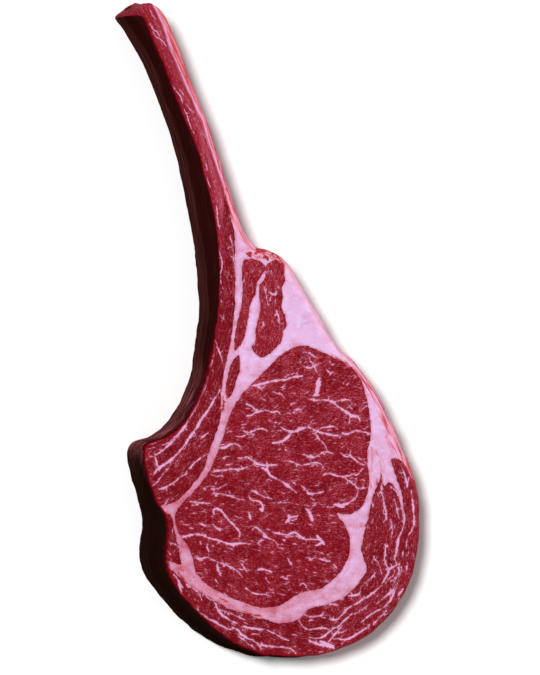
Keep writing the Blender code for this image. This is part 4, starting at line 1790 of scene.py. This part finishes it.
@dataclass(frozen=True)
class MeatFinish(Finish):
    """Raw lean meat with marbling."""

    dark: Colour = seen(114, 5, 17)
    middle: Colour = seen(142, 21, 35)
    bright: Colour = seen(156, 38, 53)
    light: Colour = seen(184, 84, 104)
    thread: Colour = seen(188, 92, 114)
    # pale specks: fine fat, and also painted wet glints
    dot: Colour = seen(218, 138, 160)
    thin_fat: Colour = seen(202, 116, 144)
    thick_fat: Colour = seen(226, 168, 210)
    rim_skin: Colour = seen(212, 84, 92)
    film: Colour = seen(224, 142, 160)

    def paint(self, graph: Graph, place: Tap, grain: Tap) -> Painted:
        """Build the tissue's own nodes, as Finish says."""
        fine = graph.swing(place, (0.9, 0.9, 0.9), 2.0)
        stipple = graph.swing(grain, (1.35, 0.7, 1.0), 2.5)
        patch = graph.swing(place, (9, 9, 9), 2.0, 4.0)
        pale = graph.value("pale")
        tone = stipple * 2.3 + fine * 1.7 + patch * 1.1 + pale * 0.22 + 0.2
        colour = graph.ramp(tone, (0.0, self.dark), (0.45, self.middle), (0.75, self.bright),
                            (1.0, self.light))
        crowd = graph.noise(place, (6, 6, 6), 2.0, 8.0) + pale * 0.16
        wave = abs(graph.swing(grain, (5.5, 2.4, 4.0), 2.5, 11.0))
        threads = wave.rise(0.028, 0.0) * crowd.rise(0.46, 0.7)
        colour = graph.blend(threads * 0.36, colour, self.thread)
        # pale dashes and dots: fine fat flecks, and also painted wet glints
        dashes = graph.noise(grain, (3.2, 0.62, 0.9), 2.0, 3.0).rise(0.6, 0.7)
        colour = graph.blend(dashes * crowd.rise(0.4, 0.62) * 0.55, colour, self.dot)
        dots = graph.noise(place, (1.0, 0.9, 0.9), 1.0, 33.0).rise(0.66, 0.76)
        colour = graph.blend(dots * crowd.rise(0.3, 0.7) * 0.3, colour, self.dot)
        seam = graph.value("seam")
        colour = graph.blend((seam + fine * 1.5).rise(0.9, 0.0) * 0.35, colour, self.dark)
        fading = graph.noise(place, (6, 6, 6), 2.0, 13.0) - 0.42
        feather = graph.swing(grain, (2.4, 0.6, 0.8), 2.0, 21.0)
        edge = graph.value("vein") + fine * 0.8 + feather * 1.3 - fading * 1.4
        colour = graph.blend(edge.rise(1.2, 0.1) * 0.14, colour, self.light)
        fat = graph.blend(edge.rise(0.05, -0.6), self.thin_fat, self.thick_fat)
        lines = edge.rise(0.22, -0.34)
        colour = graph.blend(lines, colour, fat)
        skin = graph.noise(grain, (12, 0.8, 1.0), 3.0, 6.0)
        film = graph.noise(grain, (22, 2.2, 2.2), 4.0, 26.0) + graph.value("salmon") * 0.022
        film = film.rise(0.5, 0.66) * graph.value("drop").rise(0.0, 0.1) * graph.value("painted_light_lift")
        colour = graph.blend(film * 0.75, colour, self.film)
        bare = graph.value("salmon") + (skin - 0.5) * 5
        colour = graph.blend(bare.rise(-0.4, 2.4) * 0.55, colour, self.rim_skin)
        rough = self.roughness - stipple * 0.3
        height = stipple * 0.9 + lines * 0.6 + skin * 0.3 + patch
        return Painted(colour, rough, height)


@dataclass(frozen=True)
class FatFinish(Finish):
    """Raw fat: smooth, pale and pink, redder where it meets the meat and at its outer rim."""

    relief: float = 0.18
    deep: Colour = seen(192, 94, 114)
    low: Colour = seen(208, 128, 156)
    middle: Colour = seen(221, 158, 193)
    high: Colour = seen(233, 186, 230)
    fringe: Colour = seen(188, 76, 92)
    peach: Colour = seen(238, 172, 186)
    salmon: Colour = seen(222, 120, 128)
    salmon_red: Colour = seen(186, 50, 58)
    meat: Colour = seen(156, 32, 45)
    meat_light: Colour = seen(196, 92, 108)
    crest: Colour = seen(232, 172, 212)
    # painted highlight: a bluish-white wet sheen
    sheen: Colour = seen(231, 208, 247)

    def paint(self, graph: Graph, place: Tap, grain: Tap) -> Painted:
        """Build the tissue's own nodes, as Finish says."""
        fine = graph.swing(place, (0.9, 0.9, 0.9), 2.0)
        cloud = graph.swing(place, (7, 7, 7), 3.0, 4.0)
        veil = graph.swing(place, (14, 6, 9), 4.0, 9.0)
        grit = graph.swing(place, (1.3, 1.3, 1.3), 2.0, 6.0)
        streak = graph.swing(grain, (15, 0.95, 0.95), 3.0, 1.0)
        tone = graph.value("pale") + cloud * 1.1 + veil * 1.1 + grit * 0.5 + streak * 0.45 - 0.03
        colour = graph.ramp(tone, (0.0, self.deep), (0.22, self.low), (0.55, self.middle),
                            (1.0, self.high))
        # painted highlight: a wet sheen painted on the palest fat
        glint = graph.noise(place, (5.5, 3.2, 4), 3.0, 15.0).rise(0.52, 0.68)
        colour = graph.blend(glint * graph.value("pale").rise(0.7, 0.95) * 0.6, colour, self.sheen)
        seam = graph.value("seam") + graph.swing(place, (2.6, 2.6, 2.6), 3.0, 2.0) * 2.6
        colour = graph.blend(seam.rise(2.0, 0.3) * 0.2, colour, self.fringe)
        colour = graph.blend(seam.rise(0.7, 0.0) * 0.45, colour, self.fringe)
        ridge = self.crest_line(graph, grain)
        skin = (graph.value("salmon") + streak * 9).rise(-1.0, 1.6)
        colour = graph.blend(abs(ridge).rise(1.6, 0.5), colour, self.crest)
        peachy = graph.value("peach")
        tint = graph.blend(peachy, self.salmon, self.peach)
        veiled = 0.4 + streak.rise(-0.1, 0.06) * 0.55 + graph.value("drop").rise(0.0, 0.2) * 0.25
        colour = graph.blend(skin * veiled, colour, tint)
        colour = graph.blend(skin * streak.rise(0.0, 0.12) * (1 - peachy * 0.85), colour, self.salmon_red)
        stain = graph.value("stain") + fine * 1.4 + cloud * 1.2 + streak * 2
        colour = graph.blend(stain.rise(1.6, -0.2) * 0.55, colour, self.salmon)
        meat = graph.blend(fine.rise(-0.05, 0.2), self.meat, self.meat_light)
        colour = graph.blend(stain.rise(0.3, -0.3), colour, meat)
        rough = self.roughness + grit * 0.2
        height = grit * 0.5 + cloud * 1.6 + veil * 2.4 + streak * skin * 1.2
        return Painted(colour, rough, height)


@dataclass(frozen=True)
class BoneFinish(Finish):
    """The rib in its thin layer of meat: painted shade on its side, crimson and streaked on top."""

    relief: float = 0.3
    inner: Colour = seen(126, 14, 27)
    crimson: Colour = seen(156, 38, 54)
    pink: Colour = seen(182, 68, 86)
    line: Colour = seen(206, 120, 146)
    crest: Colour = seen(231, 164, 206)
    flank: Colour = seen(212, 112, 136)
    salmon: Colour = seen(216, 104, 114)
    salmon_light: Colour = seen(234, 150, 156)
    salmon_red: Colour = seen(188, 60, 70)
    # painted shade of the rib side: near black above, lighter and more streaked below, as if the lower part
    # caught more light
    side: PaintedShadeSide = PaintedShadeSide(
        upper=seen(34, 7, 7, SIDE_LIGHT), lower=seen(43, 16, 14, SIDE_LIGHT),
        streak=seen(64, 31, 28, SIDE_LIGHT), raw=seen(184, 98, 106, SIDE_LIGHT), quickness=2.6,
    )

    def paint(self, graph: Graph, place: Tap, grain: Tap) -> Painted:
        """Build the tissue's own nodes, as Finish says."""
        fine = graph.swing(place, (0.9, 0.9, 0.9), 2.0)
        share = graph.value("share") + graph.swing(grain, (22, 4, 4), 2.0, 3.0) * 0.3
        # dark red towards the rib side: partly the meat's own colour, partly painted shade where the top
        # turns down
        colour = graph.ramp(share, (0.1, self.inner), (0.34, self.crimson), (0.6, self.pink))
        fibre = graph.swing(grain, (13, 1.2, 1.2), 4.0)
        stipple = graph.swing(grain, (1.9, 0.85, 0.85), 2.0, 2.0)
        dusk = graph.noise(grain, (12, 3.0, 3.0), 2.0, 5.0)
        colour = graph.blend(dusk.rise(0.5, 0.72) * 0.7, colour, self.inner)
        shown = 0.25 + graph.value("share").rise(0.12, 0.4) * 0.75
        colour = graph.blend((fibre + stipple * 0.6).rise(0.02, 0.2) * shown * 0.4, colour, self.line)
        colour = graph.blend(stipple.rise(0.06, 0.22) * shown * 0.55, colour, self.line)
        colour = graph.blend(stipple.rise(-0.05, -0.2) * 0.45, colour, self.inner)
        dashes = graph.value("share").rise(0.34, 0.2) * graph.noise(grain, (7, 1.3, 1.3), 2.0, 17.0)
        colour = graph.blend(dashes.rise(0.55, 0.64) * shown * 0.6, colour, self.line)
        edge = graph.value("vein") + fine * 0.6
        colour = graph.blend(edge.rise(0.25, -0.2), colour, self.crest)
        ridge = self.crest_line(graph, grain)
        streak = graph.swing(grain, (15, 0.9, 0.9), 3.0, 8.0)
        gully = ridge.rise(-3.0, -2.0) * ridge.rise(-0.8, -1.5)
        colour = graph.blend(gully * 0.55, colour, self.inner)
        slope = graph.blend((streak + stipple * 0.3).rise(0.0, 0.13), self.salmon, self.salmon_red)
        slope = graph.blend((streak - stipple * 0.3).rise(-0.04, -0.14), slope, self.salmon_light)
        colour = graph.blend(ridge.rise(-0.4, 0.9), colour, slope)
        colour = graph.blend(abs(ridge + streak * 3).rise(1.9, 0.7) * 0.5, colour, self.flank)
        pale = abs(ridge + streak * 2.2 + 0.1).rise(0.85, 0.2)
        colour = graph.blend(pale * (0.85 + stipple), colour, self.crest)
        rough = self.roughness + fibre * 0.3
        height = fibre * 1.3 + streak * 0.7 + stipple * 0.4
        return Painted(colour, rough, height)


EYE_MEAT = MeatFinish("eye_meat")
RIM_MEAT = MeatFinish("rim_meat", dark=seen(108, 5, 15), middle=seen(131, 17, 30), bright=seen(148, 34, 48))
TAIL_MEAT = MeatFinish("tail_meat", middle=seen(146, 24, 38), bright=seen(160, 42, 56))
FAT = FatFinish("raw_fat", wetness=0.14)
BONE = BoneFinish("covered_rib")


# ------------------------------------------------------------------ the studio
@dataclass(frozen=True)
class Studio:
    """Plain pale floor, one soft key light from the upper left, even fill and the camera."""

    floor_side: float = 12.0
    floor_drop: float = 0.0002         # keeps the floor clear of the steak's flat underside
    floor_shade: Colour = (0.86, 0.86, 0.86, 1.0)
    floor_mottle: Colour = (0.8772, 0.8772, 0.8772, 1.0)
    mottle_size: float = 400.0         # in millimetres
    white: Colour = (1.0, 1.0, 1.0, 1.0)
    fill: float = 0.32
    key: float = 3.34
    key_softness: float = math.radians(10.0)
    key_from: tuple[float, float, float] = (-0.47, 0.16, 1.0)
    lens: float = 400.0
    sensor: float = 36.0
    view_height: float = 0.4016        # what the photo's height covers on the cut face
    aim: tuple[float, float, float] = (-0.00565, -0.00397, 0.043)
    clip: Span = (0.1, 100.0)

    def build(self) -> None:
        """Make the floor, the lights and the camera."""
        self.lay_floor()
        self.light()
        self.place_camera()
        bpy.context.scene.view_settings.view_transform = "Standard"

    def lay_floor(self) -> None:
        """Lay the floor under the steak."""
        half, low = self.floor_side / 2, -self.floor_drop
        mesh = bpy.data.meshes.new("studio_floor")
        corners = [(-half, -half, low), (half, -half, low), (half, half, low), (-half, half, low)]
        mesh.from_pydata(corners, [], [(0, 1, 2, 3)])
        floor = bpy.data.objects.new("studio_floor", mesh)
        bpy.context.scene.collection.objects.link(floor)
        graph = Graph("floor_paint")
        mottle = graph.noise(graph.place(), (self.mottle_size,) * 3)
        colour = graph.blend(mottle, self.floor_shade, self.floor_mottle)
        graph.close(colour, roughness=0.9, height=mottle, depth=0.01)
        mesh.materials.append(graph.material)

    def light(self) -> None:
        """Hang the key light and set the fill."""
        lamp = bpy.data.lights.new("key_light", "SUN")
        lamp.energy = self.key
        lamp.angle = self.key_softness
        key = bpy.data.objects.new("key_light", lamp)
        key.rotation_euler = Vector(self.key_from).to_track_quat("Z", "Y").to_euler()
        bpy.context.scene.collection.objects.link(key)
        world = bpy.data.worlds.new("studio_fill")
        world.use_nodes = True
        sockets = world.node_tree.nodes["Background"].inputs
        sockets["Color"].default_value = self.white
        sockets["Strength"].default_value = self.fill
        bpy.context.scene.world = world

    def place_camera(self) -> None:
        """Look at the cut face from the rib side, from far off with a long lens."""
        tilt = PHOTO.tilt
        right = Vector((math.cos(tilt), 0.0, math.sin(tilt)))
        up = Vector((0.0, 1.0, 0.0))
        back = Vector((-math.sin(tilt), 0.0, math.cos(tilt)))
        eye = Vector(self.aim) + back * (self.view_height * self.lens / self.sensor)
        lens = bpy.data.cameras.new("photo_camera")
        lens.lens = self.lens
        lens.sensor_width = self.sensor
        lens.sensor_fit = "AUTO"
        lens.clip_start, lens.clip_end = self.clip
        camera = bpy.data.objects.new("photo_camera", lens)
        turn = Matrix((right, up, back)).transposed().to_4x4()
        camera.matrix_world = Matrix.Translation(eye) @ turn
        bpy.context.scene.collection.objects.link(camera)
        bpy.context.scene.camera = camera


# ------------------------------------------------------------------ all together
def cut_pieces() -> list[SteakPiece]:
    """List the pieces: a piece named earlier wins where two outlines overlap."""
    rib, tail = RIB_GRAIN, INNER_TAIL_GRAIN
    return [
        SteakPiece("rib_bone", Tissue.BONE, rib, BONE, RIB_BONE, far_side=8.0),
        SteakPiece("rib_meat", Tissue.LEAN, RIB_MEAT_GRAIN, RIM_MEAT, RIB_MEAT, 2.0),
        SteakPiece("eye_muscle", Tissue.LEAN, FanGrain(), EYE_MEAT, EYE_MUSCLE, 3.5),
        SteakPiece("cap_muscle", Tissue.LEAN, RIM_GRAIN, RIM_MEAT, CAP_MUSCLE, 2.5),
        SteakPiece("side_muscle", Tissue.LEAN, RIM_GRAIN, RIM_MEAT, SIDE_MUSCLE, 2.0),
        SteakPiece("inner_tail_muscle", Tissue.LEAN, tail, TAIL_MEAT, INNER_TAIL_MUSCLE, 2.0),
        SteakPiece("outer_tail_muscle", Tissue.LEAN, OUTER_TAIL_GRAIN, TAIL_MEAT, OUTER_TAIL_MUSCLE, 2.0),
        SteakPiece("seam_muscle", Tissue.LEAN, SEAM_GRAIN, RIM_MEAT, SEAM_MUSCLE),
        SteakPiece("fat", Tissue.FAT, RIM_GRAIN, FAT),
    ]


def draw_marbling(pieces: Sequence[SteakPiece]) -> tuple[Marbling, Marbling]:
    """Draw the fat lines in the meat and the meat in the fat.

    Args:
        pieces: The pieces, for the short flecks in each.

    Returns:
        The fat lines and the meat lines.
    """
    fat_lines, meat_lines = Marbling(seed=5), Marbling(seed=6)
    for drawn in EYE_VEINS + TAIL_VEINS + RIB_VEINS + CAP_VEINS:
        fat_lines.add_vein(drawn)
    for drawn in HANDLE_VEINS:
        fat_lines.add_vein(drawn, barb_gap=40.0)
    for drawn in MEAT_IN_FAT:
        meat_lines.add_vein(drawn, barb_gap=60.0)
    for piece in pieces:
        if piece.fleck_density > 0:
            region = Track.through(piece.corners, step=1.0)
            count = fat_lines.scatter(region, piece.grain, piece.fleck_density)
            LOG.info("%s: %d flecks", piece.node, count)
    return fat_lines, meat_lines


def main() -> None:
    """Build the dressed steak and its studio."""
    logging.basicConfig(level=logging.INFO, format="%(name)s: %(message)s")
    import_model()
    centre = Track.through(STEAK, SOLID_STEP).centre()
    pieces = cut_pieces()
    fat_lines, meat_lines = draw_marbling(pieces)
    plan = FacePlan(SteakForm(), pieces, fat_lines, meat_lines)
    for number, piece in enumerate(pieces, start=1):
        piece.build(plan, number if piece.corners else 0, centre)
    Studio().build()
    LOG.info("studio: floor, key light, fill and camera")


if __name__ == "__main__":
    main()
